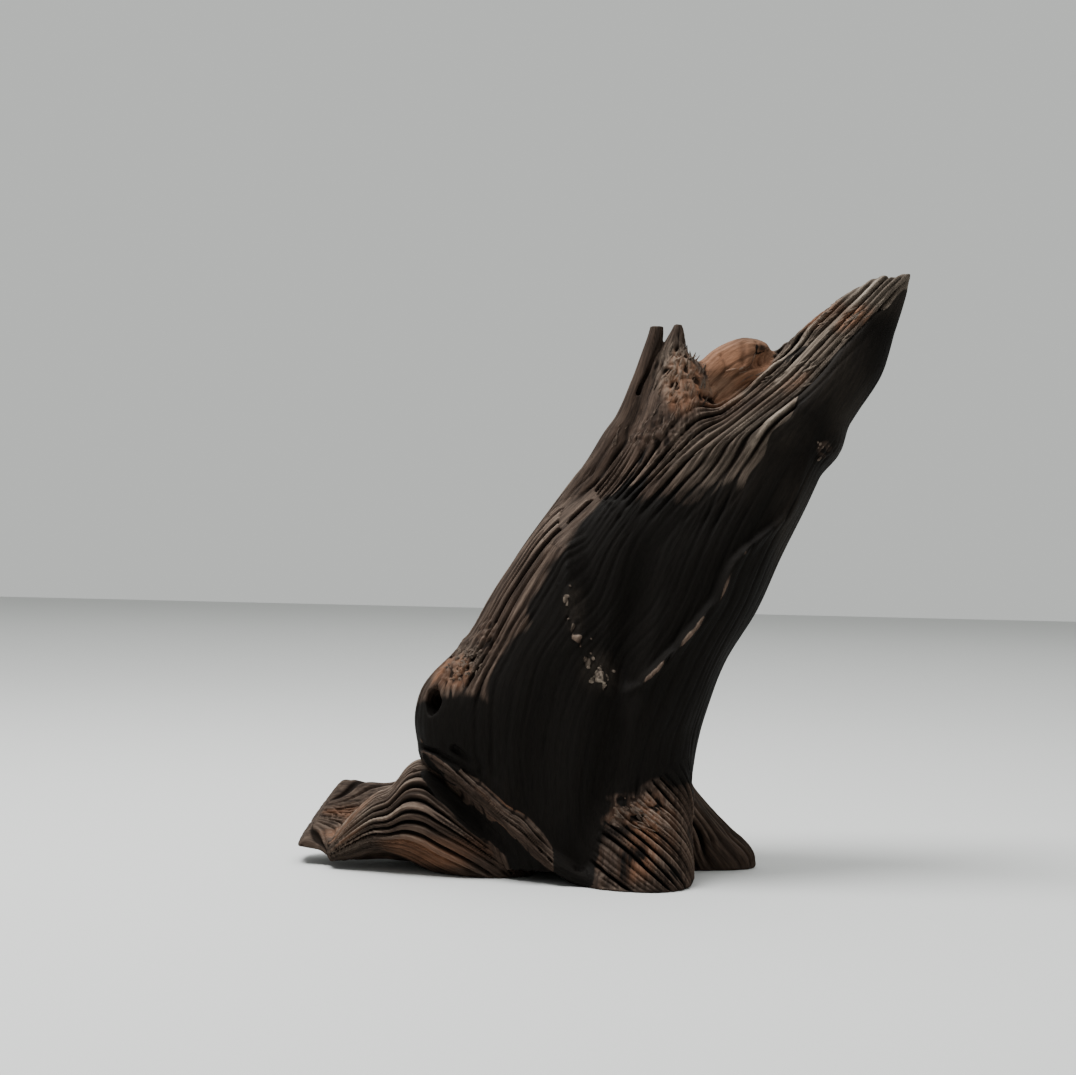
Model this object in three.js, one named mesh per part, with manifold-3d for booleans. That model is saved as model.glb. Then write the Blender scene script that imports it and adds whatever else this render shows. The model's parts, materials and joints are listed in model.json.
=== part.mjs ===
// A weathered piece of bogwood standing on its roots: one leaning trunk that forks into a
// long spire and a pair of broken splinters, a rounded heartwood knuckle between the two, and
// six short roots. Lengths are in millimetres, +Z is up, and -Y is the dark hollow front.
import * as THREE from 'three';
import { mergeVertices } from 'three/addons/utils/BufferGeometryUtils.js';
import Module from 'manifold-3d';

const wasm = await Module();
wasm.setup();

// Driving dimensions
const FORK_GAP = 0.3;            // saw-thin gap left between two pieces of the same wood
const FLOOR = 0;                 // height of the surface the roots are worn flat on
const REACH = 400;               // longer than the whole piece, for cuts that go right through
const ORIGIN = [6.6, 10.2, 0];   // middle of the outline on the floor, moved to 0, 0, 0
const ROUNDNESS = 2.4;           // 2 is an ellipse, higher is boxier
const RIDGE_DEPTH = 1.3;         // half the height of a weathered ridge
const SCARF_CREST = [82, 6, 249];          // point on the long upper edge of the break
const SCARF_RUN = [68, -6, 41];            // direction of that edge, up to the spire's tip
const FRONT_TILT = [34, 58];     // degrees the front of the break leans, low end and tip
const BACK_TILT = [16, 40];      // degrees the back of the break leans, low end and tip
const KNOB_MIDDLE = [-60, -20, 78];        // old branch stub swelling out of the left side
const KNOB_SWELL = 9;            // how far the wood round the stub swells
const CREST_ARCH = 4.5;          // how far the crest of the break arches up towards the tip
const FLAP_FACE = [[-115, -19, 4], [-0.1, -0.77, 0.63]];   // worn face of the left root
const FLAP_END = [[-139.5, 0, 6], [-0.82, -0.1, 0.57]];    // its broken outer end
const POCKET = [83, -1, 247];    // rotted pocket beside the knuckle
const FRONT_CALM = 0.5;          // the dark front is only lightly ridged
const EYE_DEPTH = 9;             // depth of the small knot hole in the knob
const BACK_FLUTES = 7;           // broad flutes round the whole trunk, seen only at the back
const FLUTE_DEPTH = 4;
const CREASE_DEPTH = 5.5;        // crease that drains out of the scoop
const CREASE_WIDTH = 12;
const DIP_DEPTH = 4;             // dip to the left of that crease
const DIP_WIDTH = 16;
const EDGE_KNOT = [116, 203];    // x and z of the small knot on the right edge
const EDGE_KNOT_RADIUS = 16;

// Each station of a limb: how far along it lies, then its low and high edge on both cross axes.
const TRUNK = [
  [5, -55, 44, -45, 49],
  [15, -60, 45, -46, 51],
  [32, -65, 46, -47, 50],
  [50, -67, 49, -47, 47],
  [75, -67, 56, -46, 44],
  [100, -61, 65, -44, 44],
  [125, -50, 80, -42, 47],
  [150, -35, 91, -40, 49],
  [175, -17.5, 103, -37, 48],
  [200, 0, 114.5, -32, 44],
  [220, 11, 126.5, -26, 39],
  [240, 22, 139, -19, 32],
  [260, 40, 145, -12, 24],
  [278, 80, 150, -7, 15],
  [290, 120, 152, -4, 7],
];
const LEFT_ROOT = [
  [38, -30, 10, -2, 40],
  [60, -30, 14, -2, 46],
  [78, -28, 16, 0, 43],
  [95, -26, 18, 2, 37],
  [108, -24, 20, 3, 38],
  [118, -22, 20, 4, 39],
  [128, -20, 19, 6, 38],
  [143, -16, 17, 8, 35],
];
const LEFT_DRAPE = [
  [-120, -22, -8, 3, 11],
  [-110, -26, 0, 5, 24],
  [-100, -30, 7, 8, 33],
  [-92, -33, 12, 7, 37],
  [-84, -35, 16, 4, 47],
  [-76, -37, 19, 0, 50],
  [-68, -38, 20, -4, 46],
  [-60, -39, 18, -6, 40],
  [-50, -38, 14, -9, 31],
  [-40, -36, 10, -12, 21],
  [-30, -32, 6, -14, 9],
  [-24, -28, 0, -14, 2],
];
const STRIP_ROOT = [
  [-8, -6, 10, 42, 64],
  [14, -7, 9, 29, 51],
  [34, -7, 9, 14, 37],
  [50, -7, 10, 3, 24],
  [64, -6, 11, 0, 13],
  [76, -4, 8, 0, 5],
];
const CENTRE_FOOT = [
  [-4, -12, 15, -26, 2],
  [16, -17, 17, -26, 7],
  [34, -22, 19, -28, 11],
  [50, -26, 20, -32, 15],
  [64, -29, 21, -36, 17],
  [84, -31, 22, -40, 17],
];
const RIGHT_ROOT = [
  [-6, -24, 30, -34, -5],
  [14, -24, 32, -34, -3],
  [32, -21, 29, -35, 0],
  [48, -16, 24, -35, 3],
  [62, -12, 20, -35, 6],
  [76, -9, 16, -36, 9.5],
  [86, -7, 13, -36, 6],
];
const BACK_ROOT = [
  [-6, -26, 30, -30, 3],
  [18, -25, 29, -30, 9],
  [38, -21, 25, -32, 12],
  [56, -16, 20, -34, 12],
  [74, -12, 15, -36, 10],
  [98, -9, 12, -38, 7],
];
const BACK_LEFT_ROOT = [
  [-6, -22, 24, -28, 3],
  [14, -22, 24, -28, 9],
  [32, -19, 20, -30, 12],
  [48, -15, 15, -32, 12],
  [64, -11, 11, -34, 9],
  [86, -8, 8, -36, 6],
];
const KNOB = [
  [42, -66, -34, -28, 8],
  [50, -78, -34, -33, 12],
  [60, -81, -32, -36, 14],
  [72, -82.5, -30, -36, 14],
  [84, -80, -28, -34, 12],
  [94, -73, -28, -29, 8],
  [105, -60, -34, -18, -2],
];
const KNUCKLE = [
  [-24, -11, 9, -14, 6],
  [-12, -13, 11, -13, 11],
  [0, -13, 12, -12, 14],
  [10, -11, 11, -11, 13],
  [17, -8, 8, -8, 9],
  [21, -4, 4, -4, 5],
];
const LEFT_SPLINTER = [
  [168, -22, 18, -8, 10],
  [196, -3, 24, -8, 9],
  [209, 4.5, 27, -7, 8],
  [218, 10.5, 28.5, -6, 7],
  [235, 17.5, 30, -5, 6],
  [248, 22, 31, -4, 5],
  [257, 25, 32.4, -3.5, 4.5],
  [261, 26, 32.4, -3, 4],
];
const RIGHT_SPLINTER = [
  [182, 4, 66, -19, 8],
  [200, 14, 62, -20, 6],
  [214, 21, 57, -18, 5],
  [226, 25, 53, -14, 4],
  [236, 28.5, 50, -11, 4],
  [243, 30.5, 48, -9, 3],
  [248, 31.5, 44.5, -7, 3],
  [254, 33.5, 43, -6, 3],
  [259, 36, 42, -5, 2],
  [262, 37.5, 41, -4, 1],
];

// The V-shaped scoop in the front face: height, left rim, right rim.
const SCOOP = [
  [84, 12, 15],
  [101, -1, 33],
  [128, -11, 56],
  [150, -14, 68],
  [172, -15, 92],
  [196, -6, 100],
  [214, 8, 104],
];
const SCOOP_DEPTH = 7;
const SCOOP_LIP = 13;            // width over which the scoop's rim drops to full depth

// Wood colours: sun-greyed ridges, orange-tan heartwood, dark brown bog-stained faces.
const WOOD = {
  trunk: 0x3a2c24,
  spire: 0x5f4a3c,
  splinters: 0x6a5344,
  knuckle: 0x96694a,
  left_root: 0x66503f,
  front_left_root: 0x5a4537,
  centre_root: 0x6e4f3a,
  right_root: 0x463529,
  back_root: 0x4c3a2e,
  back_left_root: 0x4f3d30,
};

// Repeatable value from 0 to 1 for ridge number `n` of a limb.
function chance(n, seed) {
  const wave = Math.sin(n * 12.9898 + seed * 78.233) * 43758.5453;
  return wave - Math.floor(wave);
}

function smooth(from, to, value) {
  const t = Math.min(1, Math.max(0, (value - from) / (to - from)));
  return t * t * (3 - 2 * t);
}

// Reads a table of stations at any distance along it, rounding the corners between rows.
function readTable(table, at) {
  let row = 0;
  while (row < table.length - 2 && at > table[row + 1][0]) {
    row += 1;
  }
  const before = table[Math.max(0, row - 1)];
  const start = table[row];
  const end = table[row + 1];
  const after = table[Math.min(table.length - 1, row + 2)];
  const span = end[0] - start[0];
  const t = Math.min(1, Math.max(0, (at - start[0]) / span));
  return start.slice(1).map((value, i) => {
    const slopeIn = (end[i + 1] - before[i + 1]) / (end[0] - before[0]) * span;
    const slopeOut = (after[i + 1] - value) / (after[0] - start[0]) * span;
    const t2 = t * t;
    const t3 = t2 * t;
    return (2 * t3 - 3 * t2 + 1) * value + (t3 - 2 * t2 + t) * slopeIn
      + (3 * t2 - 2 * t3) * end[i + 1] + (t3 - t2) * slopeOut;
  });
}

// A closed skin over rows of points, every row going the same way round.
function skin(rows) {
  const count = rows[0].length;
  const points = rows.flat();
  const first = points.length;
  const middle = (row) => row
    .reduce((sum, point) => sum.add(point), new THREE.Vector3())
    .divideScalar(count);
  points.push(middle(rows[0]), middle(rows[rows.length - 1]));
  const faces = [];
  const top = (rows.length - 1) * count;
  for (let j = 0; j < count; j += 1) {
    const next = (j + 1) % count;
    for (let i = 0; i < rows.length - 1; i += 1) {
      const a = i * count + j;
      const b = i * count + next;
      faces.push(a, b, b + count, a, b + count, a + count);
    }
    faces.push(first, next, j, first + 1, top + j, top + next);
  }
  const geometry = new THREE.BufferGeometry();
  geometry.setAttribute(
    'position',
    new THREE.Float32BufferAttribute(points.flatMap((point) => point.toArray()), 3),
  );
  geometry.setIndex(faces);
  return geometry;
}

function toManifold(geometry) {
  const clean = geometry.clone();
  clean.deleteAttribute('normal');
  clean.deleteAttribute('uv');
  const welded = mergeVertices(clean, 1e-5);
  return new wasm.Manifold(new wasm.Mesh({
    numProp: 3,
    vertProperties: new Float32Array(welded.attributes.position.array),
    triVerts: new Uint32Array(welded.index.array),
  }));
}

// A limb is a skin over cross sections that all face `along`; `side` and `up` are the cross
// axes of its station table. Ridges follow the limb: two columns make one ridge.
function limb({
  table, along, side, up, base = [0, 0, 0], rows, ridges, seed, depth = RIDGE_DEPTH, calm = 1,
  grow = 0, shape,
}) {
  const origin = new THREE.Vector3(...base);
  const start = table[0][0];
  const length = table[table.length - 1][0] - start;
  const rings = [];
  for (let i = 0; i <= rows; i += 1) {
    const at = start + length * i / rows;
    const [sideLow, sideHigh, upLow, upHigh] = readTable(table, at);
    const halfSide = (sideHigh - sideLow) / 2 + grow;
    const halfUp = (upHigh - upLow) / 2 + grow;
    const swell = grow * (2 * i / rows - 1);
    const fade = Math.min(1, Math.min(halfSide, halfUp) / 14);
    const ring = [];
    for (let j = 0; j < ridges * 2; j += 1) {
      const ridge = Math.floor(j / 2);
      const drift = 0.06 * Math.sin(at / 23 + 5 * chance(ridge, seed + 1));
      const angle = Math.PI * (j + 0.35 * chance(j, seed)) / ridges + drift;
      const c = Math.cos(angle);
      const s = Math.sin(angle);
      const round = (Math.abs(c) ** ROUNDNESS + Math.abs(s) ** ROUNDNESS) ** (-1 / ROUNDNESS);
      const strength = 0.35 + 0.9 * chance(ridge, seed + 2)
        + 0.45 * Math.sin(at / 17 + 6 * chance(ridge, seed + 3));
      const front = 1 + (calm - 1) * smooth(0.1, 0.6, -s);
      const lift = (j % 2 ? -1 : 1) * depth * fade * strength * front;
      const point = origin.clone()
        .addScaledVector(along, at + swell)
        .addScaledVector(side, (sideLow + sideHigh) / 2 + (halfSide * round + lift) * c)
        .addScaledVector(up, (upLow + upHigh) / 2 + (halfUp * round + lift) * s);
      ring.push(shape ? shape(point, c, s) : point);
    }
    rings.push(ring);
  }
  return toManifold(skin(rings));
}

const X = new THREE.Vector3(1, 0, 0);
const Y = new THREE.Vector3(0, 1, 0);
const Z = new THREE.Vector3(0, 0, 1);

// Distance of a point from the middle of a swelling, counted in its own three radii.
function nearness(point, middle, radii) {
  return Math.hypot(...point.toArray().map((value, i) => (value - middle[i]) / radii[i]));
}

// Models the trunk's skin: the swelling under the knob, broad flutes round the back, and on
// the front the scoop, the crease that drains out of it and the dip beside the lower bulges.
function carveTrunk(point, c, s) {
  const { x, z } = point;
  const outward = (amount) => point.set(point.x + amount * c, point.y + amount * s, point.z);
  const angle = Math.atan2(s, c);
  outward(KNOB_SWELL * smooth(1, 0, nearness(point, KNOB_MIDDLE, [40, 34, 46]))
    + FLUTE_DEPTH * smooth(0.1, 0.6, s) * Math.cos(BACK_FLUTES * angle + z / 60)
    + 4 * smooth(EDGE_KNOT_RADIUS, 0, Math.hypot(x - EDGE_KNOT[0], z - EDGE_KNOT[1]))
      * smooth(0.2, 0.9, c));
  if (s > -0.05) {
    return point;
  }
  let push = 0;
  if (z > SCOOP[0][0] && z < SCOOP[SCOOP.length - 1][0]) {
    const [left, right] = readTable(SCOOP, z);
    const inside = Math.min(x - left, right - x);
    push += SCOOP_DEPTH * smooth(0, SCOOP_LIP, inside) * smooth(222, 190, z);
    push -= 1.5 * smooth(-6, -1, inside) * smooth(5, 0, inside) * smooth(190, 160, z);
  }
  const crease = 5 + (z - 40) * 0.17;
  push += CREASE_DEPTH * smooth(CREASE_WIDTH, 0, Math.abs(x - crease))
    * smooth(16, 50, z) * smooth(165, 120, z);
  const dip = -26 + (z - 20) * 0.1;
  push += DIP_DEPTH * smooth(DIP_WIDTH, 0, Math.abs(x - dip))
    * smooth(8, 40, z) * smooth(110, 70, z);
  point.y += push * smooth(0.05, 0.5, -s);
  return point;
}

// A thick slab with a rippled under face, used to split wood off along its grain. The face
// twists from the first tilt to the second on its way along the run.
function riftSlab({ at, run, tilt, length, width, ripples, depth, seed }) {
  const along = run.clone().normalize();
  const upright = new THREE.Vector3(-along.z, 0, along.x).normalize();
  const level = new THREE.Vector3().crossVectors(along, upright).normalize();
  const columns = ripples * 2;
  const steps = 12;
  const rings = [];
  for (let i = 0; i <= steps; i += 1) {
    const u = length * (i / steps - 0.5);
    const lean = THREE.MathUtils.degToRad(tilt[0] + (tilt[1] - tilt[0]) * smooth(-70, 75, u));
    const out = upright.clone().multiplyScalar(Math.cos(lean))
      .addScaledVector(level, Math.sin(lean));
    const across = new THREE.Vector3().crossVectors(out, along).normalize();
    const low = [];
    for (let j = 0; j <= columns; j += 1) {
      const ridge = Math.floor(j / 2);
      const wander = 1.6 * Math.sin(u / 21 + 4 * chance(ridge, seed));
      const v = width * (j / columns - 0.5) + wander + 1.4 * (chance(j, seed + 4) - 0.5);
      const crest = (j % 2 ? 1 : -1) * (0.5 + 0.8 * chance(ridge, seed + 1));
      const wave = depth * crest * (0.8 + 0.4 * Math.sin(u / 15 + 7 * chance(ridge, seed + 2)));
      low.push(at.clone().addScaledVector(along, u).addScaledVector(across, v)
        .addScaledVector(out, wave));
    }
    const arch = CREST_ARCH * smooth(0, 50, u) * smooth(88, 62, u);
    low.forEach((point) => point.addScaledVector(out, arch));
    const high = [width / 2 + 4, -width / 2 - 4].map((v) => at.clone()
      .addScaledVector(along, u).addScaledVector(across, v).addScaledVector(out, 90));
    rings.push([...low, ...high]);
  }
  return toManifold(skin(rings));
}

// Everything beyond a plane through `at`, looking along `facing`; `shift` moves the plane back.
function beyond(at, facing, shift = 0) {
  const out = new THREE.Vector3(...facing).normalize();
  const box = new THREE.BoxGeometry(REACH * 2, REACH * 2, REACH);
  box.translate(0, 0, REACH / 2 - shift);
  box.applyQuaternion(new THREE.Quaternion().setFromUnitVectors(Z, out));
  box.translate(...at);
  return toManifold(box);
}

// A root leaves the foot of the trunk at `base` and runs down along `way` into the floor.
function root({ table, way, base, ...rest }) {
  const along = new THREE.Vector3(...way).normalize();
  const side = new THREE.Vector3().crossVectors(along, Z).normalize().negate();
  const up = new THREE.Vector3().crossVectors(along, side);
  return limb({ table, along, side, up, base, ...rest });
}

const trunk = limb({
  table: TRUNK, along: Z, side: X, up: Y, rows: 29, ridges: 27, seed: 3, calm: FRONT_CALM,
  shape: carveTrunk,
});
const knob = limb({
  table: KNOB, along: Z, side: X, up: Y, rows: 9, ridges: 9, seed: 11, depth: 0.6,
});
const leftFlap = root({
  table: LEFT_ROOT, way: [-1, 0, 0], rows: 9, ridges: 11, seed: 17, depth: 1.2,
}).subtract(beyond(...FLAP_FACE)).subtract(beyond(...FLAP_END));
const leftDrape = root({
  table: LEFT_DRAPE, way: [1, 0, 0], rows: 12, ridges: 14, seed: 19, depth: 1.9,
});
const stripRoot = root({
  table: STRIP_ROOT, way: [0.94, -0.34, 0], base: [-66, -20, 0], rows: 8, ridges: 9, seed: 23,
});
const centreFoot = root({
  table: CENTRE_FOOT, way: [-0.06, -0.34, -0.93], base: [30, -19, 70], rows: 9, ridges: 13,
  seed: 29, depth: 1.7,
});
const rightRoot = root({
  table: RIGHT_ROOT, way: [0.52, 0.04, -0.85], base: [34, 4, 68], rows: 9, ridges: 13,
  seed: 31, depth: 2,
});
const backRoot = root({
  table: BACK_ROOT, way: [0.08, 0.5, -0.86], base: [6, 28, 84], rows: 10, ridges: 12,
  seed: 37, depth: 1.8,
});
const backLeftRoot = root({
  table: BACK_LEFT_ROOT, way: [-0.4, 0.44, -0.8], base: [-36, 22, 66], rows: 9, ridges: 10,
  seed: 61, depth: 1.8,
});

// The long break: two rifted faces that meet on a crest running up to the tip.
const crest = new THREE.Vector3(...SCARF_CREST);
const run = new THREE.Vector3(...SCARF_RUN);
const frontRift = riftSlab({
  at: crest, run, tilt: FRONT_TILT, length: 310, width: 190, ripples: 21, depth: 1.3,
  seed: 41,
});
const backRift = riftSlab({
  at: crest, run, tilt: BACK_TILT.map((degrees) => -degrees), length: 310, width: 200,
  ripples: 19, depth: 1.5, seed: 43,
});

// The knuckle lies along the grain of the spire, behind the crest of the break.
const knuckleWay = new THREE.Vector3(0.86, 0.04, 0.5).normalize();
const knuckleSide = new THREE.Vector3().crossVectors(Z, knuckleWay).normalize();
const knuckleSolid = (grow) => limb({
  table: KNUCKLE, along: knuckleWay, side: knuckleSide, grow,
  up: new THREE.Vector3().crossVectors(knuckleWay, knuckleSide), base: [67, 8, 241],
  rows: 7, ridges: 8, seed: 47, depth: 0.7,
});
const splinterSolids = (grow) => limb({
  table: LEFT_SPLINTER, along: Z, side: X, up: Y, rows: 11, ridges: 5, seed: 53, depth: 0.8,
  grow,
}).add(limb({
  table: RIGHT_SPLINTER, along: Z, side: X, up: Y, rows: 13, ridges: 7, seed: 59, depth: 1.1,
  grow,
}));

// The small tapering knot hole on the outer face of the knob.
const eye = new THREE.CylinderGeometry(2.6, 6.8, EYE_DEPTH * 2, 9);
eye.scale(0.75, 1, 1.25);
eye.rotateX(0.35);
eye.rotateZ(-0.35);
eye.translate(-73, -34, 79);

// The pocket is a leaf-shaped hollow along the grain.
const pocket = new THREE.SphereGeometry(1, 10, 6);
pocket.scale(13, 8, 5);
pocket.rotateY(-Math.atan2(run.z, run.x));
pocket.translate(...POCKET);

const body = trunk.add(knob).subtract(frontRift).subtract(backRift)
  .add(knuckleSolid(0)).add(splinterSolids(0))
  .subtract(toManifold(eye)).subtract(toManifold(pocket));
const whole = body.add(leftFlap).add(leftDrape).add(stripRoot).add(centreFoot).add(rightRoot)
  .add(backRoot).add(backLeftRoot)
  .intersect(beyond([0, 0, FLOOR], [0, 0, 1]));

// The space past every plane of a fork, each plane a point and the way out of the trunk.
function past(planes, shift) {
  return planes
    .map(([at, facing]) => beyond(at, facing, shift))
    .reduce((space, next) => space.intersect(next));
}

const STRIP_TOP = [[-61, -22, 61], [-0.477, 0.231, -0.85]];
const FORKS = {
  spire: [[[84, 0, 214], [0.72, 0, 0.69]]],
  right_root: [[[52, 0, 42], [0.85, 0, -0.53]], [[48, -32, 0], [0.5, 0.87, 0]]],
  back_root: [[[6, 46, 52], [0.05, 0.85, -0.53]], [[-24, 50, 20], [0.85, -0.5, 0]]],
  back_left_root: [[[-45, 32, 44], [-0.57, 0.63, -0.53]], [[-50, 30, 0], [0.38, 0.92, 0]]],
  left_root: [[[-57, 0, 28], [-0.62, -0.05, -0.785]]],
  centre_root: [[[30, -43, 42], [0, -0.85, -0.53]], [[-2, -50, 0], [0.96, -0.1, 0.26]]],
  front_left_root: [[[-63, -14, 52], [-0.436, -0.9, 0]], STRIP_TOP],
};

// Part the wood fork by fork, leaving a saw-thin gap behind each piece that comes away.
const pieces = {};
let rest = whole;
function partOff(name, space, wider) {
  pieces[name] = rest.intersect(space);
  rest = rest.subtract(wider);
}
const splinterRoot = [[[22, 0, 203], [-0.5, 0, 0.866]]];
partOff('knuckle', knuckleSolid(0), knuckleSolid(FORK_GAP));
partOff(
  'splinters',
  splinterSolids(0).intersect(past(splinterRoot, 0)),
  splinterSolids(FORK_GAP).intersect(past(splinterRoot, FORK_GAP)),
);
for (const [name, planes] of Object.entries(FORKS)) {
  partOff(name, past(planes, 0), past(planes, FORK_GAP));
}
pieces.trunk = rest;

// Turns a finished solid into a named mesh with its own wood.
function woodMesh(name, solid) {
  const { vertProperties, triVerts } = solid.getMesh();
  const geometry = new THREE.BufferGeometry();
  geometry.setAttribute('position', new THREE.BufferAttribute(vertProperties, 3));
  geometry.setIndex(new THREE.BufferAttribute(triVerts, 1));
  geometry.translate(...ORIGIN.map((value) => -value));
  geometry.computeVertexNormals();
  const material = new THREE.MeshStandardMaterial({
    color: WOOD[name], roughness: 0.82, metalness: 0,
  });
  const mesh = new THREE.Mesh(geometry, material);
  mesh.name = name;
  return mesh;
}

const bogwood = new THREE.Group();
bogwood.name = 'bogwood';
for (const [name, solid] of Object.entries(pieces)) {
  bogwood.add(woodMesh(name, solid));
}

export default bogwood;
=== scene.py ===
"""Bogwood: a leaning, root-footed trunk with a spire, broken splinters and a heartwood knuckle.

The wood is described once, as a field: every limb is a run of rounded cross sections, limbs
flow into each other where they meet, and the long break is split off along its grain. The
field is meshed once, every vertex is raised or sunk by the weathered ridges of the limb it
lies on, and the skin is cut into pieces along the main forks. Lengths are in millimetres
until a mesh is made.
"""
import json  # noqa: E402
import logging  # noqa: E402
import math  # noqa: E402
from dataclasses import dataclass, field  # noqa: E402
from enum import Enum  # noqa: E402
from typing import Iterable  # noqa: E402

import bpy  # noqa: E402
import numpy as np  # noqa: E402
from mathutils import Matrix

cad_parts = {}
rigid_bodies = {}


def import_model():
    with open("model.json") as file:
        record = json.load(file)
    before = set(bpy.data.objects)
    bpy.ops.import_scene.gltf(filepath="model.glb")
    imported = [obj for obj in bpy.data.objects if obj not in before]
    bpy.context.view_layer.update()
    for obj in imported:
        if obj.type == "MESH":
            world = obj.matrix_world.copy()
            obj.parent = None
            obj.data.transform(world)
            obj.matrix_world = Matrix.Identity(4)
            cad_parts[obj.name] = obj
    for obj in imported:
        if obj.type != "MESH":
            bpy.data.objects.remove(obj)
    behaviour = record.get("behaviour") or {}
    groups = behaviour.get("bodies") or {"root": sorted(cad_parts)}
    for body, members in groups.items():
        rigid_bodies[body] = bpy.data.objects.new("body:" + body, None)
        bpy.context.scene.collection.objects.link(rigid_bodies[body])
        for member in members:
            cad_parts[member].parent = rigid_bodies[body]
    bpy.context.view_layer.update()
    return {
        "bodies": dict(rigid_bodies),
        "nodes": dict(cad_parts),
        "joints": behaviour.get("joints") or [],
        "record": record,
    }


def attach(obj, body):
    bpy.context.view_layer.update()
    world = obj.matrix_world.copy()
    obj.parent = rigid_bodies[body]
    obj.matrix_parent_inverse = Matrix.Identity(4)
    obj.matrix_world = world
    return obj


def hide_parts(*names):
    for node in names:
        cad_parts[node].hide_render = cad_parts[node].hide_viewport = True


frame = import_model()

import openvdb  # noqa: E402
from mathutils import Matrix, Vector  # noqa: E402

logging.basicConfig(level=logging.INFO, format="%(message)s")
log = logging.getLogger("bogwood")

Array = np.ndarray
Vec = tuple[float, float, float]
Table = list[list[float]]

MM = 0.001
ORIGIN = np.array([6.6, 10.2, 0.0])  # middle of the outline, which is 0, 0, 0 in the frame
ROUNDNESS = 2.4
VOXEL = 0.68  # spacing of the skin's points
WALL = 5.0  # how far a cut edge goes straight into the wood before it turns to the core
LOW, HIGH = (-148.0, -72.0, -3.0), (160.0, 92.0, 298.0)  # box round the wood

SCARF_CREST = (82.0, 6.0, 249.0)
SCARF_RUN = (68.0, -6.0, 41.0)
FRONT_TILT = (34.0, 58.0)
BACK_TILT = (16.0, 40.0)
CREST_ARCH = 4.5  # how far the crest of the break arches up towards the tip
FLAP_FACE = ((-115.0, -19.0, 4.0), (-0.1, -0.77, 0.63))  # worn face of the left root
FLAP_END = ((-139.5, 0.0, 6.0), (-0.82, -0.1, 0.57))  # its broken outer end
POCKET = (90.0, -2.0, 251.5)  # rotted pocket beside the knuckle

# Stations: distance along the limb, then its low and high edge on both cross axes.
TRUNK: Table = [
    [5, -55, 44, -45, 49],
    [15, -60, 45, -46, 51],
    [32, -65, 46, -47, 50],
    [50, -67, 49, -47, 47],
    [75, -67, 56, -46, 44],
    [100, -61, 65, -44, 44],
    [125, -50, 80, -42, 47],
    [150, -35, 91, -40, 49],
    [175, -17.5, 103, -37, 48],
    [200, 0, 114.5, -32, 44],
    [220, 11, 126.5, -26, 39],
    [240, 22, 139, -19, 32],
    [260, 40, 145, -12, 24],
    [278, 80, 150, -7, 15],
    [290, 120, 152, -4, 7],
]
KNOB: Table = [
    [42, -66, -34, -28, 8],
    [50, -78, -34, -33, 12],
    [60, -81, -32, -36, 14],
    [72, -82.5, -30, -36, 14],
    [84, -80, -28, -34, 12],
    [94, -73, -28, -29, 8],
    [105, -60, -34, -18, -2],
]
LEFT_ROOT: Table = [
    [38, -30, 10, -2, 40],
    [60, -30, 14, -2, 46],
    [78, -28, 16, 0, 43],
    [95, -26, 18, 2, 37],
    [108, -24, 20, 3, 38],
    [118, -22, 20, 4, 39],
    [128, -20, 19, 6, 38],
    [143, -16, 17, 8, 35],
]
LEFT_DRAPE: Table = [
    [-120, -22, -8, 3, 11],
    [-110, -26, 0, 5, 24],
    [-100, -30, 7, 8, 33],
    [-92, -33, 12, 7, 37],
    [-84, -35, 16, 4, 47],
    [-76, -37, 19, 0, 50],
    [-68, -38, 20, -4, 46],
    [-60, -39, 18, -6, 40],
    [-50, -38, 14, -9, 31],
    [-40, -36, 10, -12, 21],
    [-30, -32, 6, -14, 9],
    [-24, -28, 0, -14, 2],
]
STRIP_ROOT: Table = [
    [-8, -12, 10, 48, 62],
    [4, -13, 10, 42, 56],
    [14, -15, 9, 37, 49],
    [24, -14, 9, 29, 42],
    [34, -15.5, 9, 23, 35],
    [43, -13.5, 9, 15, 30],
    [50, -14, 10, 9, 23],
    [64, -11, 11, 0, 11],
    [76, -7, 8, 0, 5],
]
CENTRE_FOOT: Table = [
    [-4, -12, 15, -26, 2],
    [16, -17, 17, -26, 7],
    [34, -22, 19, -28, 11],
    [50, -26, 20, -32, 15],
    [64, -29, 21, -36, 17],
    [84, -31, 22, -40, 17],
]
RIGHT_ROOT: Table = [
    [-6, -24, 30, -34, -5],
    [14, -24, 32, -34, -3],
    [32, -21, 29, -35, 0],
    [48, -16, 24, -35, 3],
    [62, -12, 20, -35, 6],
    [76, -9, 16, -36, 9.5],
    [86, -7, 13, -36, 6],
]
BACK_ROOT: Table = [
    [-6, -26, 30, -30, 3],
    [18, -25, 29, -30, 9],
    [38, -21, 25, -32, 12],
    [56, -16, 20, -34, 12],
    [74, -12, 15, -36, 10],
    [98, -9, 12, -38, 7],
]
BACK_LEFT_ROOT: Table = [
    [-6, -22, 24, -28, 3],
    [14, -22, 24, -28, 9],
    [32, -19, 20, -30, 12],
    [48, -15, 15, -32, 12],
    [64, -11, 11, -34, 9],
    [86, -8, 8, -36, 6],
]
KNUCKLE: Table = [
    [-24, -11, 9, -14, 6],
    [-12, -13, 11, -13, 11],
    [0, -13, 12, -12, 14],
    [10, -11, 11, -11, 13],
    [17, -8, 8, -8, 9],
    [21, -4, 4, -4, 5],
]
LEFT_SPLINTER: Table = [
    [168, -22, 18, -8, 10],
    [196, -3, 24, -8, 9],
    [209, 4.5, 27, -7, 8],
    [218, 10.5, 28.5, -6, 7],
    [235, 17.5, 30, -5, 6],
    [248, 22, 31, -4, 5],
    [257, 25, 32.4, -3.5, 4.5],
    [261, 26, 32.4, -3, 4],
]
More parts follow.
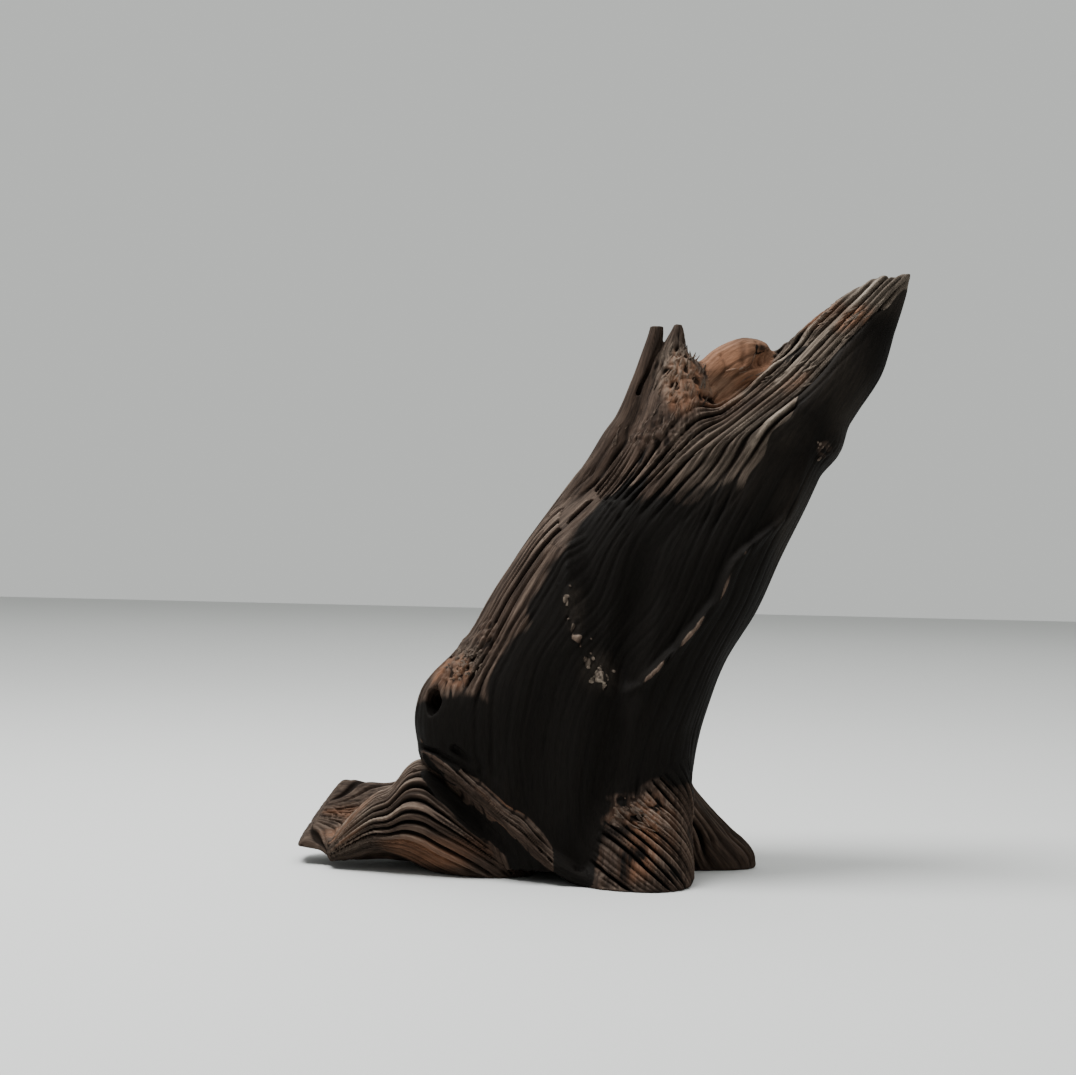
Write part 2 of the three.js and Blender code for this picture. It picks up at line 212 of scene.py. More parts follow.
RIGHT_SPLINTER: Table = [
    [182, 4, 66, -19, 8],
    [200, 14, 62, -20, 6],
    [214, 21, 57, -18, 5],
    [226, 25, 53, -14, 4],
    [236, 28.5, 50, -11, 4],
    [243, 30.5, 48, -9, 3],
    [248, 31.5, 44.5, -7, 3],
    [254, 33.5, 43, -6, 3],
    [259, 36, 42, -5, 2],
    [262, 37.5, 41, -4, 1],
]
SCOOP: Table = [
    [84, 12, 15],
    [101, -1, 33],
    [128, -11, 56],
    [150, -14, 68],
    [172, -15, 92],
    [196, -6, 100],
    [214, 8, 104],
]


# Creases worn between the folds of the foot: points along each, and its radius.
CREASES: list[tuple[list[Vec], float]] = [
    ([(-44, -43, 22), (-36, -46, 13), (-29, -47, 2)], 4.3),
    (
        [
            (-77, -28, 51), (-67, -32, 40), (-55, -35.5, 28.5), (-43, -40.5, 19), (-34, -45, 11),
            (-27, -48, 2),
        ],
        3.9,
    ),
    ([(-84, -20, 60), (-70, -32, 57), (-60, -36, 51)], 1.3),
    ([(-62, -35, 59), (-55, -38, 53), (-39, -45, 45), (-25, -48, 33), (-13, -49, 22), (-4, -49, 8)], 2.0),
]

# The knot hole: its mouth, and the way that it runs into the knob.
KNOT_HOLE: Vec = (-73.5, -31.0, 80.0)
KNOT_HOLE_INWARD: Vec = (0.32, 0.93, -0.05)

# The camera fitted to the photograph: lens, place in millimetres, and tilts in degrees.
SENSOR_WIDTH = 36.0
FOCAL_PIXELS = 1606.0
PHOTO_WIDTH_PIXELS = 1076.0
CAMERA_AT: Vec = (-26.0, -775.0, 138.9)
CAMERA_PITCH = 1.38
CAMERA_ROLL = 1.34

# Small hollows: the middle of each, its radii along and across the grain of the break.
HOLLOWS: list[tuple[Vec, Vec]] = [
    (POCKET, (17.0, 6.5, 5.5)),
    ((47.0, -2.0, 232.0), (5.0, 5.0, 4.5)),
    ((144.0, 1.0, 290.0), (4.0, 3.5, 2.2)),
]


class Slot(Enum):
    """The record's material slots."""

    DARK = "dark_wood"
    WEATHERED = "weathered_wood"
    HEART = "heartwood"


def unit(vector: Iterable[float]) -> Array:
    """A vector of length one.

    Args:
        vector: any three numbers that aren't all zero.

    Returns:
        The same direction with length one.
    """
    v = np.array(list(vector), float)
    return v / np.linalg.norm(v)


def smooth(low: float, high: float, value: Array) -> Array:
    """Eases from 0 at low to 1 at high; high may be under low.

    Args:
        low: where the result leaves 0.
        high: where the result reaches 1.
        value: what is compared.

    Returns:
        The eased share, in the shape of value.
    """
    t = np.clip((value - low) / (high - low), 0.0, 1.0)
    return t * t * (3.0 - 2.0 * t)


def noise(x: Array, y: Array, seed: int, wrap: int = 0) -> Array:
    """Smooth random values over a plane.

    Args:
        x: first coordinate, one cell per whole number.
        y: second coordinate.
        seed: picks the pattern.
        wrap: number of cells after which x repeats, or 0 for never.

    Returns:
        Values from 0 to 1.
    """
    x0, y0 = np.floor(x), np.floor(y)
    fx, fy = x - x0, y - y0
    fx, fy = fx * fx * (3 - 2 * fx), fy * fy * (3 - 2 * fy)
    xi, yi = x0.astype(np.int64), y0.astype(np.int64)

    def corner(i: Array, j: Array) -> Array:
        """The random value at whole-number corners of the plane.

        Args:
            i: first whole number.
            j: second whole number.

        Returns:
            Values from 0 to 1.
        """
        if wrap:
            i = i % wrap
        n = (i * 374761393 + j * 668265263 + seed * 2147483629) & 0xFFFFFFFF
        n = ((n ^ (n >> 13)) * 1274126177) & 0xFFFFFFFF
        return ((n ^ (n >> 16)) & 0xFFFF) / 65535.0

    low = corner(xi, yi) * (1 - fx) + corner(xi + 1, yi) * fx
    high = corner(xi, yi + 1) * (1 - fx) + corner(xi + 1, yi + 1) * fx
    return low * (1 - fy) + high * fy


def lumps(x: Array, y: Array, z: Array, size: float, seed: int) -> Array:
    """Smooth random values in space, from 0 to 1.

    Args:
        x: left to right.
        y: front to back.
        z: up.
        size: width of one lump, in millimetres.
        seed: picks the pattern.

    Returns:
        The values.
    """
    level = z / size
    low = np.floor(level)
    share = level - low
    share = share * share * (3 - 2 * share)
    ids = low.astype(np.int64)
    shift = (ids * 7919 + seed * 104729) % 9973
    after = ((ids + 1) * 7919 + seed * 104729) % 9973
    first = noise(x / size + shift, y / size + shift * 3, seed)
    second = noise(x / size + after, y / size + after * 3, seed)
    return first * (1 - share) + second * share


@dataclass(frozen=True)
class Patch:
    """A soft-edged region of the wood.

    Attributes:
        middle: its middle, in millimetres.
        radii: its reach each way.
        share: its strength in the middle.
    """

    middle: Vec
    radii: Vec
    share: float = 1.0

    def weight(self, x: Array, y: Array, z: Array) -> Array:
        """How strongly points belong to the patch, from 0 to its share.

        Args:
            x: left to right.
            y: front to back.
            z: up.

        Returns:
            The strength at each point.
        """
        d = ((x - self.middle[0]) / self.radii[0]) ** 2
        d = d + ((y - self.middle[1]) / self.radii[1]) ** 2
        d = d + ((z - self.middle[2]) / self.radii[2]) ** 2
        return self.share * smooth(1.0, 0.35, np.sqrt(d))


def strongest(patches: list[Patch], x: Array, y: Array, z: Array) -> Array:
    """The strongest patch at each point.

    Args:
        patches: the patches to look at.
        x: left to right.
        y: front to back.
        z: up.

    Returns:
        Its strength, from 0 to 1.
    """
    weight = np.zeros_like(x)
    for patch in patches:
        weight = np.maximum(weight, patch.weight(x, y, z))
    return weight


ROTTED = [
    Patch((41.0, -12.0, 232.0), (15.0, 24.0, 30.0)),
    Patch((30.0, -20.0, 208.0), (26.0, 24.0, 12.0), 0.6),
    Patch((-62.0, -24.0, 96.0), (17.0, 18.0, 13.0), 0.8),
    Patch((-50.0, -30.0, 112.0), (9.0, 22.0, 14.0), 0.8),
    Patch((-8.0, -42.0, 126.0), (5.0, 14.0, 14.0), 0.8),
    Patch((6.0, -42.0, 98.0), (7.0, 14.0, 9.0), 0.9),
    Patch((18.0, -48.0, 37.0), (22.0, 18.0, 13.0), 0.85),
    Patch((116.0, -4.0, 203.0), (9.0, 20.0, 8.0), 0.7),
]
# Painted shade in the rotted pocket and hollows, which lie in shadow, and two patches darkened on the foot
# and below the break.
PAINTED_SHADE_PATCHES = [
    Patch(POCKET, (17.0, 8.0, 9.0), 0.9),
    Patch((49.0, -2.0, 233.0), (5.0, 6.0, 6.0), 0.9),
    Patch((144.0, 1.0, 289.0), (4.0, 4.0, 3.0), 0.9),
    Patch((20.0, -48.0, 41.0), (24.0, 16.0, 13.0), 0.45),
    Patch((54.0, -28.0, 177.0), (34.0, 14.0, 11.0), 0.42),
]
# Scuffed wear that lifts the dark front, and beside the knot hole a painted glint.
SCUFFS_AND_GLINT = [
    Patch((-64.0, -28.0, 77.0), (8.0, 9.0, 6.0), 0.6),
    Patch((107.0, -14.0, 203.0), (10.0, 14.0, 10.0), 0.7),
]
SMOOTHED = [
    Patch((64.0, -8.0, 232.0), (20.0, 10.0, 9.0), 0.85),
]
BLEACHED = [
    Patch((140.0, -4.0, 284.0), (36.0, 26.0, 24.0), 1.0),
    Patch((104.0, -12.0, 244.0), (40.0, 34.0, 38.0), 0.75),
    Patch((62.0, -24.0, 196.0), (44.0, 24.0, 34.0), 0.5),
    Patch((38.0, -12.0, 240.0), (16.0, 20.0, 24.0), 0.6),
    Patch((92.0, -14.0, 170.0), (22.0, 20.0, 42.0), 0.7),
    Patch((116.0, -10.0, 230.0), (24.0, 18.0, 40.0), 0.8),
    Patch((-58.0, -26.0, 100.0), (16.0, 18.0, 14.0), 0.35),
    Patch((62.0, -8.0, 230.0), (18.0, 10.0, 9.0), 0.8),
    Patch((-116.0, -22.0, 22.0), (30.0, 24.0, 24.0), 0.45),
    Patch((4.0, -42.0, 96.0), (14.0, 14.0, 14.0), 0.8),
    Patch((-8.0, -42.0, 126.0), (8.0, 14.0, 18.0), 0.7),
    Patch((78.0, -26.0, 212.0), (34.0, 16.0, 22.0), 0.7),
]
WARMED = [
    Patch((67.0, 8.0, 241.0), (34.0, 24.0, 24.0), 1.0),
    Patch((60.0, -6.0, 228.0), (20.0, 14.0, 13.0), 0.7),
    Patch((41.0, -12.0, 232.0), (16.0, 24.0, 28.0), 0.68),
    Patch((112.0, 0.0, 268.0), (34.0, 18.0, 15.0), 0.6),
    Patch((84.0, -14.0, 238.0), (26.0, 18.0, 16.0), 0.4),
    Patch((-64.0, -24.0, 92.0), (20.0, 20.0, 16.0), 0.55),
    Patch((24.0, -50.0, 26.0), (34.0, 34.0, 30.0), 0.42),
    Patch((12.0, -56.0, 12.0), (30.0, 18.0, 16.0), 0.45),
    Patch((-44.0, -42.0, 34.0), (30.0, 14.0, 24.0), 0.35),
    Patch((-112.0, -10.0, 22.0), (36.0, 34.0, 24.0), 0.5),
    Patch((-70.0, -30.0, 12.0), (46.0, 26.0, 16.0), 0.5),
    Patch((-34.0, -38.0, 30.0), (26.0, 12.0, 18.0), 0.4),
    Patch((10.0, 50.0, 40.0), (40.0, 30.0, 40.0), 0.4),
]


def spline_table(table: Table, count: int = 400) -> tuple[Array, Array]:
    """Rounds the corners between the stations of a table.

    Args:
        table: rows of a distance and its values, in rising distance.
        count: number of samples returned.

    Returns:
        The sampled distances, and the values at each as rows.
    """
    rows = np.array(table, float)
    at, values = rows[:, 0], rows[:, 1:]
    slopes = np.empty_like(values)
    slopes[1:-1] = (values[2:] - values[:-2]) / (at[2:] - at[:-2])[:, None]
    slopes[0] = (values[1] - values[0]) / (at[1] - at[0])
    slopes[-1] = (values[-1] - values[-2]) / (at[-1] - at[-2])
    s = np.linspace(at[0], at[-1], count)
    k = np.clip(np.searchsorted(at, s, "right") - 1, 0, len(at) - 2)
    span = (at[k + 1] - at[k])[:, None]
    t = ((s - at[k]) / span[:, 0])[:, None]
    t2, t3 = t * t, t * t * t
    return s, (
        (2 * t3 - 3 * t2 + 1) * values[k]
        + (t3 - 2 * t2 + t) * slopes[k] * span
        + (3 * t2 - 2 * t3) * values[k + 1]
        + (t3 - t2) * slopes[k + 1] * span
    )


@dataclass(frozen=True)
class Ridges:
    """How weathered grain stands out on a surface.

    Attributes:
        spacing: width of one ridge.
        height: height of a ridge over the groove beside it.
        groove: depth of the narrow cracks between ridges.
        swell: height of the broad waves under the ridges.
        stretch: how many times longer than wide a ridge is.
        seed: picks the pattern.
        sway: how far the ridges wander sideways, in ridge widths.
        rope: how round the ridges are, 0 for flat.
    """

    spacing: float = 4.2
    height: float = 1.2
    groove: float = 0.9
    swell: float = 1.4
    stretch: float = 11.0
    seed: int = 1
    sway: float = 1.5
    rope: float = 0.5

    def relief(
        self, across: Array, along: Array, girth: float = 0.0, detail: Array | float = 1.0
    ) -> tuple[Array, Array]:
        """Height of the ridges at points of a surface.

        Args:
            across: distance across the grain, in millimetres.
            along: distance along the grain.
            girth: distance after which across comes round to where it began, or 0.
            detail: strength of the smaller ridges between the main ones.

        Returns:
            Heights in millimetres, about 0 in the middle, and how deep in a crack each point is.
        """
        cells = max(4, round(girth / self.spacing)) if girth else 0
        scale = cells / girth if girth else 1.0 / self.spacing
        x, y = across * scale, along / (self.spacing * self.stretch)
        broad = max(1, cells // 4)
        ratio = broad / cells if cells else 0.25
        wide = noise(x * ratio, y * 0.9 + 7.3, self.seed + 1, broad if cells else 0)
        drift = noise(x * ratio, y * 2.2, self.seed + 2, broad if cells else 0) - 0.5
        twitch = noise(x * ratio * 2.0, y * 5.5, self.seed + 6, broad * 2 if cells else 0) - 0.5
        pairs = max(1, round(cells * 0.55))
        share = pairs / cells if cells else 0.55
        uneven = noise(x * share, y * 0.5, self.seed + 7, pairs if cells else 0) - 0.5
        x = x + self.sway * (drift + 0.16 * twitch) + 0.95 * uneven
        height, cracks = self.swell * (wide - 0.5), np.zeros_like(x)
        for level, share in enumerate((1.0, 0.42 * detail)):
            times = 2**level
            across_cells, along_cells = x * times, y * 1.3 * times**0.7
            edge = np.floor(across_cells + 0.5)
            off = across_cells - edge
            wrap = cells * times
            deep = smooth(0.3, 0.75, noise(edge, along_cells, self.seed + 10 + level, wrap))
            width = 0.09 + 0.12 * noise(edge, along_cells * 0.7, self.seed + 20 + level, wrap)
            width = np.maximum(width, 0.78 * VOXEL / self.spacing * times)
            crack = share * deep * np.exp(-((off / width) ** 2))
            below = noise(edge - 1, along_cells * 0.6, self.seed + 30 + level, wrap)
            above = noise(edge, along_cells * 0.6, self.seed + 30 + level, wrap)
            ledge = below + (above - below) * smooth(-0.15, 0.15, off)
            rope = 1.0 - (1.0 - 2.0 * np.abs(off)) ** 2
            height = height + self.height * share * (0.7 * (ledge - 0.5) + self.rope * (rope - 0.62))
            height = height - self.groove * crack
            cracks = np.maximum(cracks, crack)
        return height, cracks


@dataclass(frozen=True)
class Limb:
    """A run of rounded cross sections that all face the same way.

    Attributes:
        table: the stations.
        along: direction the limb runs in.
        base: point that the stations are measured from.
        ridges: the grain on its surface.
        side: first cross axis, or None for the level one.
        twist: turns that the grain makes round the limb in one millimetre along it.
        reach: how far from the limb's skin its grain still shows, in millimetres.
    """

    table: Table
    along: Vec
    base: Vec = (0.0, 0.0, 0.0)
    ridges: Ridges = Ridges()
    side: Vec | None = None
    twist: float = 0.0
    reach: float = 1.6

    def axes(self) -> tuple[Array, Array, Array]:
        """Unit vectors along the limb and across it both ways.

        Returns:
            The vector along it, then the two across it.
        """
        along = unit(self.along)
        if self.side is not None:
            side = unit(self.side)
        else:
            side = -unit(np.cross(along, (0.0, 0.0, 1.0)))
        return along, side, np.cross(along, side)

    def sections(self, x: Array, y: Array, z: Array) -> tuple[Array, ...]:
        """Where points lie in the limb's own cross sections.

        Args:
            x: left to right.
            y: front to back.
            z: up.

        Returns:
            Distance along the limb, then both offsets from the middle, then both half widths.
        """
        along, side, up = self.axes()
        px, py, pz = x - self.base[0], y - self.base[1], z - self.base[2]
        at = px * along[0] + py * along[1] + pz * along[2]
        s, values = spline_table(self.table)
        low_s, high_s, low_u, high_u = (np.interp(at, s, values[:, i]) for i in range(4))
        du = px * side[0] + py * side[1] + pz * side[2] - (low_s + high_s) / 2
        dv = px * up[0] + py * up[1] + pz * up[2] - (low_u + high_u) / 2
        return at, du, dv, (high_s - low_s) / 2, (high_u - low_u) / 2

    def distance(self, x: Array, y: Array, z: Array) -> Array:
        """Roughly how far points are from the limb's skin, less than 0 inside.

        Args:
            x: left to right.
            y: front to back.
            z: up.

        Returns:
            The distances.
        """
        at, du, dv, half_s, half_u = self.sections(x, y, z)
        radial = np.sqrt(du * du + dv * dv) + 1e-3
        power = np.abs(du / half_s) ** ROUNDNESS + np.abs(dv / half_u) ** ROUNDNESS
        shell = (1.0 - (power + 1e-9) ** (-1.0 / ROUNDNESS)) * radial
        shell = np.maximum(shell, -np.minimum(half_s, half_u))
        ends = np.maximum(self.table[0][0] - at, at - self.table[-1][0])
        return np.maximum(shell, ends)

    def relief(self, x: Array, y: Array, z: Array) -> tuple[Array, Array]:
        """Height of the grain's ridges at points on the limb.

        Args:
            x: left to right.
            y: front to back.
            z: up.

        Returns:
            Heights in millimetres, and how deep in a crack each point is.
        """
        at, du, dv, half_s, half_u = self.sections(x, y, z)
        rows = np.array(self.table, float)
        girth = 1.6 * float(np.mean(rows[:, 2] - rows[:, 1] + rows[:, 4] - rows[:, 3]))
        angle = np.arctan2(dv / half_u, du / half_s) / (2 * math.pi) + self.twist * at
        fade = smooth(2.0, 12.0, np.minimum(half_s, half_u))
        height, crack = self.ridges.relief(angle * girth, at, girth)
        return height * (0.35 + 0.65 * fade), crack

    def grain(self, x: Array, y: Array, z: Array) -> Array:
        """Coordinates across and along the limb's grain, as rows of three.

        Args:
            x: left to right.
            y: front to back.
            z: up.

        Returns:
            One row for each point, the last value along the grain.
        """
        at, du, dv, half_s, half_u = self.sections(x, y, z)
        rows = np.array(self.table, float)
        wide = float(np.mean(rows[:, 2] - rows[:, 1])) / 2
        deep = float(np.mean(rows[:, 4] - rows[:, 3])) / 2
        return np.stack([du / half_s * wide, dv / half_u * deep, at / 11.0], axis=1)


@dataclass(frozen=True)
class Rift:
    """A split surface that twists as it runs up the break.

    Attributes:
        tilt: degrees it leans to the front at its low end and at its tip, less than 0 for back.
        ridges: the grain laid bare on it.
        skew: how far the grain strays across the break for each millimetre along it.
        reach: how far from the split surface its grain still shows, in millimetres.
    """

    tilt: tuple[float, float]
    ridges: Ridges
    skew: float = 0.38
    reach: float = 3.5

    def frame(self, x: Array, y: Array, z: Array) -> tuple[Array, Array, Array]:
        """Height over the split, and distances along and across its grain.

        Args:
            x: left to right.
            y: front to back.
            z: up.

        Returns:
            Height, along, across.
        """
        run = unit(SCARF_RUN)
        upright = unit((-run[2], 0.0, run[0]))
        level = np.cross(run, upright)
        px, py, pz = x - SCARF_CREST[0], y - SCARF_CREST[1], z - SCARF_CREST[2]
        u = px * run[0] + py * run[1] + pz * run[2]
        a = px * upright[0] + py * upright[1] + pz * upright[2]
        b = px * level[0] + py * level[1] + pz * level[2]
        lean = np.radians(self.tilt[0] + (self.tilt[1] - self.tilt[0]) * smooth(-70.0, 75.0, u))
        arch = CREST_ARCH * smooth(0.0, 50.0, u) * smooth(88.0, 62.0, u)
        return a * np.cos(lean) + b * np.sin(lean) - arch, u, b * np.cos(lean) - a * np.sin(lean)

    def across(self, u: Array, v: Array) -> Array:
        """Distance across the grain, which strays over the break and draws in to the tip.

        Args:
            u: distance along the break.
            v: distance across it.

        Returns:
            The distance, in millimetres.
        """
        strayed = v + self.skew * u
        return strayed + 0.45 * smooth(10.0, 80.0, u) * (strayed - 30.0)

    def distance(self, x: Array, y: Array, z: Array) -> Array:
        """Height over the split surface, more than 0 where the wood is gone.

        Args:
            x: left to right.
            y: front to back.
            z: up.

        Returns:
            The height at each point.
        """
        return self.frame(x, y, z)[0]

    def relief(self, x: Array, y: Array, z: Array) -> tuple[Array, Array]:
        """Height of the ridges laid bare on the split surface, and their cracks.

        The front one has a smooth hollow above its ridges, behind a dark seam.

        Args:
            x: left to right.
            y: front to back.
            z: up.

        Returns:
            The height, and how deep points lie in a crack, from 0 to 1.
        """
        _, u, v = self.frame(x, y, z)
        across = self.across(u, v)
        height, crack = self.ridges.relief(across, u, 0.0, smooth(60.0, 20.0, u))
        if self.tilt[0] > 0:
            hollow = smooth(4.5, 2.5, across) * smooth(14.0, 2.0, u) * smooth(-86.0, -70.0, u)
            seam = np.exp(-(((across - 3.6) / 1.3) ** 2)) * smooth(16.0, 4.0, u)
            seam = seam * smooth(-84.0, -72.0, u)
            height = height * (1.0 - 0.75 * hollow) - 1.6 * hollow - 2.6 * seam
            crack = np.maximum(crack * (1.0 - hollow), seam)
        return height, crack

    def grain(self, x: Array, y: Array, z: Array) -> Array:
        """Coordinates across and along the grain of the break, as rows of three.

        Args:
            x: left to right.
            y: front to back.
            z: up.

        Returns:
            One row for each point, the last value along the grain.
        """
        height, u, v = self.frame(x, y, z)
        return np.stack([height, self.across(u, v), u / 11.0], axis=1)


def blend_min(a: Array, b: Array, k: float) -> Array:
    """Joins two solids with a fillet of about k millimetres.

    Args:
        a: distances from the first.
        b: distances from the second.
        k: size of the fillet.

    Returns:
        Distances from the joined solid.
    """
    h = np.maximum(k - np.abs(a - b), 0.0)
    return np.minimum(a, b) - h * h / (4.0 * k)


def blend_max(a: Array, b: Array, k: float) -> Array:
    """Keeps what two solids share, with an edge rounded by about k millimetres.

    Args:
        a: distances from the first.
        b: distances from the second.
        k: size of the rounding.

    Returns:
        Distances from what is left.
    """
    return -blend_min(-a, -b, k)


class TrunkLimb(Limb):
    """The trunk, with the modelling of its skin: swelling, flutes, scoop and creases."""

    def carve(self, x: Array, y: Array, z: Array) -> tuple[Array, Array]:
        """How far the skin stands out, and how far the front is pushed back.

        Args:
            x: left to right.
            y: front to back.
            z: up.

        Returns:
            Swelling and push, in millimetres.
        """
        _, du, dv, half_s, half_u = self.sections(x, y, z)
        size = np.sqrt(du * du + dv * dv) + 1e-3
        angle = np.arctan2(dv / half_u, du / half_s)
        c, s = np.cos(angle), np.sin(angle)
        knob = np.sqrt(((x + 60) / 40) ** 2 + ((y + 20) / 34) ** 2 + ((z - 78) / 46) ** 2)
        edge = np.sqrt((x - 116) ** 2 + (z - 203) ** 2)
        swell = 9.0 * smooth(1.0, 0.0, knob)
        swell = swell + 4.0 * smooth(0.1, 0.6, s) * np.cos(7 * angle + z / 60)
        swell = swell + 4.0 * smooth(16.0, 0.0, edge) * smooth(0.2, 0.9, c)
        at, rims = spline_table(SCOOP)
        left, right = np.interp(z, at, rims[:, 0]), np.interp(z, at, rims[:, 1])
        inside = np.minimum(x - left, right - x)
        live = smooth(84.0, 92.0, z)
        push = 7.0 * smooth(0.0, 13.0, x - left) * smooth(222.0, 190.0, z) * live
        push = push * smooth(0.0, 5.0, right - x) * (0.4 + 0.6 * smooth(0.0, 50.0, right - x))
        lip = smooth(-6.0, -1.0, inside) * smooth(5.0, 0.0, inside)
        push = push - 1.5 * lip * smooth(190.0, 160.0, z) * live
        crease = 5.0 + (z - 40.0) * 0.17
        run = smooth(16.0, 50.0, z) * smooth(165.0, 120.0, z)
        push = push + 5.5 * smooth(12.0, 0.0, np.abs(x - crease)) * run
        dip = -26.0 + (z - 20.0) * 0.1
        run = smooth(8.0, 40.0, z) * smooth(110.0, 70.0, z)
        push = push + 4.0 * smooth(16.0, 0.0, np.abs(x - dip)) * run
        return swell, push * smooth(0.05, 0.5, -s) * smooth(4.0, 20.0, size)

    def distance(self, x: Array, y: Array, z: Array) -> Array:
        """Distance from the modelled skin.

        Args:
            x: left to right.
            y: front to back.
            z: up.

        Returns:
            The distance, less than 0 inside.
        """
        swell, push = self.carve(x, y, z)
        return super().distance(x, y - push, z) - swell


ALONG_KNUCKLE = unit((0.86, 0.04, 0.5))


def slope(plane: tuple[Vec, Vec], x: Array, y: Array, z: Array) -> Array:
    """How far points are in front of a plane, given as a point and the way it faces.

    Args:
        plane: a point on it and the way that it faces.
        x: left to right.
        y: front to back.
        z: up.

    Returns:
        The distance, less than 0 behind the plane.
    """
    at, facing = plane
    n = unit(facing)
    return (x - at[0]) * n[0] + (y - at[1]) * n[1] + (z - at[2]) * n[2]


class FlapLimb(Limb):
    """The left root's outer end: a log worn flat on its face and broken off slantwise."""

    def distance(self, x: Array, y: Array, z: Array) -> Array:
        """Distance from the worn log.

        Args:
            x: left to right.
            y: front to back.
            z: up.

        Returns:
            The distance, less than 0 inside.
        """
        body = blend_max(super().distance(x, y, z), slope(FLAP_FACE, x, y, z), 3.0)
        return blend_max(body, slope(FLAP_END, x, y, z), 1.6)


class RaggedLimb(Limb):
    """A limb whose outline is worn uneven."""

    def distance(self, x: Array, y: Array, z: Array) -> Array:
        """Distance from the uneven skin.

        Args:
            x: left to right.
            y: front to back.
            z: up.

        Returns:
            The distance, less than 0 inside.
        """
        return super().distance(x, y, z) + 3.4 * (lumps(x, y, z, 8.0, 111) - 0.5)


@dataclass(frozen=True)
class Bogwood:
    """Every limb and cut of the wood, as one field."""

    trunk: Limb = TrunkLimb(
        TRUNK, (0, 0, 1), side=(1, 0, 0), ridges=Ridges(5.0, 1.7, 2.4, 1.2, 14.0, 3, 1.1)
    )
    knob: Limb = Limb(KNOB, (0, 0, 1), side=(1, 0, 0), ridges=Ridges(5.0, 0.9, 1.0, 1.2, 10.0, 11))
    left_flap: Limb = FlapLimb(LEFT_ROOT, (-1, 0, 0), ridges=Ridges(5.0, 0.9, 1.3, 1.8, 9.0, 17))
    left_drape: Limb = Limb(LEFT_DRAPE, (1, 0, 0), ridges=Ridges(3.7, 1.9, 2.6, 1.6, 16.0, 19, 0.8, 0.7))
    strip_root: Limb = RaggedLimb(
        STRIP_ROOT, (0.94, -0.34, 0), (-66, -20, 0), Ridges(3.6, 1.6, 2.2, 1.4, 14.0, 23, 0.8, 0.7),
        reach=4.0,
    )
    centre_foot: Limb = Limb(
        CENTRE_FOOT, (-0.06, -0.34, -0.93), (30, -19, 70), Ridges(6.2, 2.2, 3.0, 2.4, 7.0, 29, 1.2, 0.6),
        twist=0.0095,
    )
    right_root: Limb = Limb(
        RIGHT_ROOT, (0.52, 0.04, -0.85), (34, 4, 68), Ridges(6.4, 1.8, 3.4, 1.8, 8.0, 31)
    )
    back_root: Limb = Limb(
        BACK_ROOT, (0.08, 0.5, -0.86), (6, 28, 84), Ridges(5.6, 1.7, 2.2, 2.0, 9.0, 37)
    )
    back_left_root: Limb = Limb(
        BACK_LEFT_ROOT, (-0.4, 0.44, -0.8), (-36, 22, 66), Ridges(5.2, 1.7, 2.2, 2.0, 9.0, 61)
    )
    knuckle: Limb = RaggedLimb(
        KNUCKLE,
        tuple(ALONG_KNUCKLE),
        (67, 8, 241),
        Ridges(4.0, 0.8, 0.9, 1.2, 20.0, 47),
        side=tuple(unit(np.cross((0, 0, 1), ALONG_KNUCKLE))),
    )
    left_splinter: Limb = Limb(
        LEFT_SPLINTER, (0, 0, 1), side=(1, 0, 0), ridges=Ridges(3.6, 0.8, 1.0, 0.6, 12.0, 53)
    )
    right_splinter: Limb = Limb(
        RIGHT_SPLINTER, (0, 0, 1), side=(1, 0, 0), ridges=Ridges(4.6, 1.8, 1.8, 2.0, 4.0, 59)
    )
    front_rift: Rift = Rift(FRONT_TILT, Ridges(4.4, 2.4, 2.6, 2.2, 24.0, 41, 0.8, 0.95), reach=13.0)
    back_rift: Rift = Rift(
        (-BACK_TILT[0], -BACK_TILT[1]), Ridges(5.0, 2.0, 2.4, 2.2, 20.0, 43, 0.8, 0.8), -0.3
    )

    def distance(self, x: Array, y: Array, z: Array) -> Array:
        """Distance from the whole wood's smooth skin, less than 0 inside.

        Args:
            x: left to right.
            y: front to back.
            z: up.

        Returns:
            The distances, good near the skin.
        """
        body = blend_min(self.trunk.distance(x, y, z), self.knob.distance(x, y, z), 7.0)
        for rift in (self.front_rift, self.back_rift):
            body = blend_max(body, rift.distance(x, y, z), 2.5)
        body = blend_min(body, self.knuckle.distance(x, y, z), 2.0)
        body = blend_max(body, -self.hollows(x, y, z), 1.2)
        body = blend_min(body, self.right_splinter.distance(x, y, z), 9.0)
        body = blend_min(body, self.left_splinter.distance(x, y, z), 3.0)
        body = blend_max(body, -self.slit(x, y, z), 0.6)
        body = blend_max(body, -self.eye(x, y, z), 1.2)
        for root, k in (
            (self.left_flap, 3.0),
            (self.left_drape, 1.6 + 7.0 * smooth(-84.0, -104.0, x)),
            (self.strip_root, 2.0),
            (self.centre_foot, 9.0),
            (self.right_root, 8.0),
            (self.back_root, 10.0),
            (self.back_left_root, 9.0),
        ):
            body = blend_min(body, root.distance(x, y, z), k)
        body = blend_max(body, -self.creases(x, y, z), 1.2)
        return blend_max(body, -z, 1.0)

    def creases(self, x: Array, y: Array, z: Array) -> Array:
        """Distance from the deep creases between the lower folds, less than 0 in one.

        Args:
            x: left to right.
            y: front to back.
            z: up.

        Returns:
            The distance.
        """
        nearest = np.full_like(x, 99.0)
        for path, radius in CREASES:
            for start, end in zip(path, path[1:]):
                step = np.subtract(end, start)
                px, py, pz = x - start[0], y - start[1], z - start[2]
                t = (px * step[0] + py * step[1] + pz * step[2]) / float(step @ step)
                t = np.clip(t, 0.0, 1.0)
                dx, dy, dz = px - t * step[0], py - t * step[1], pz - t * step[2]
                nearest = np.minimum(nearest, np.sqrt(dx * dx + dy * dy + dz * dz) - radius)
        return nearest

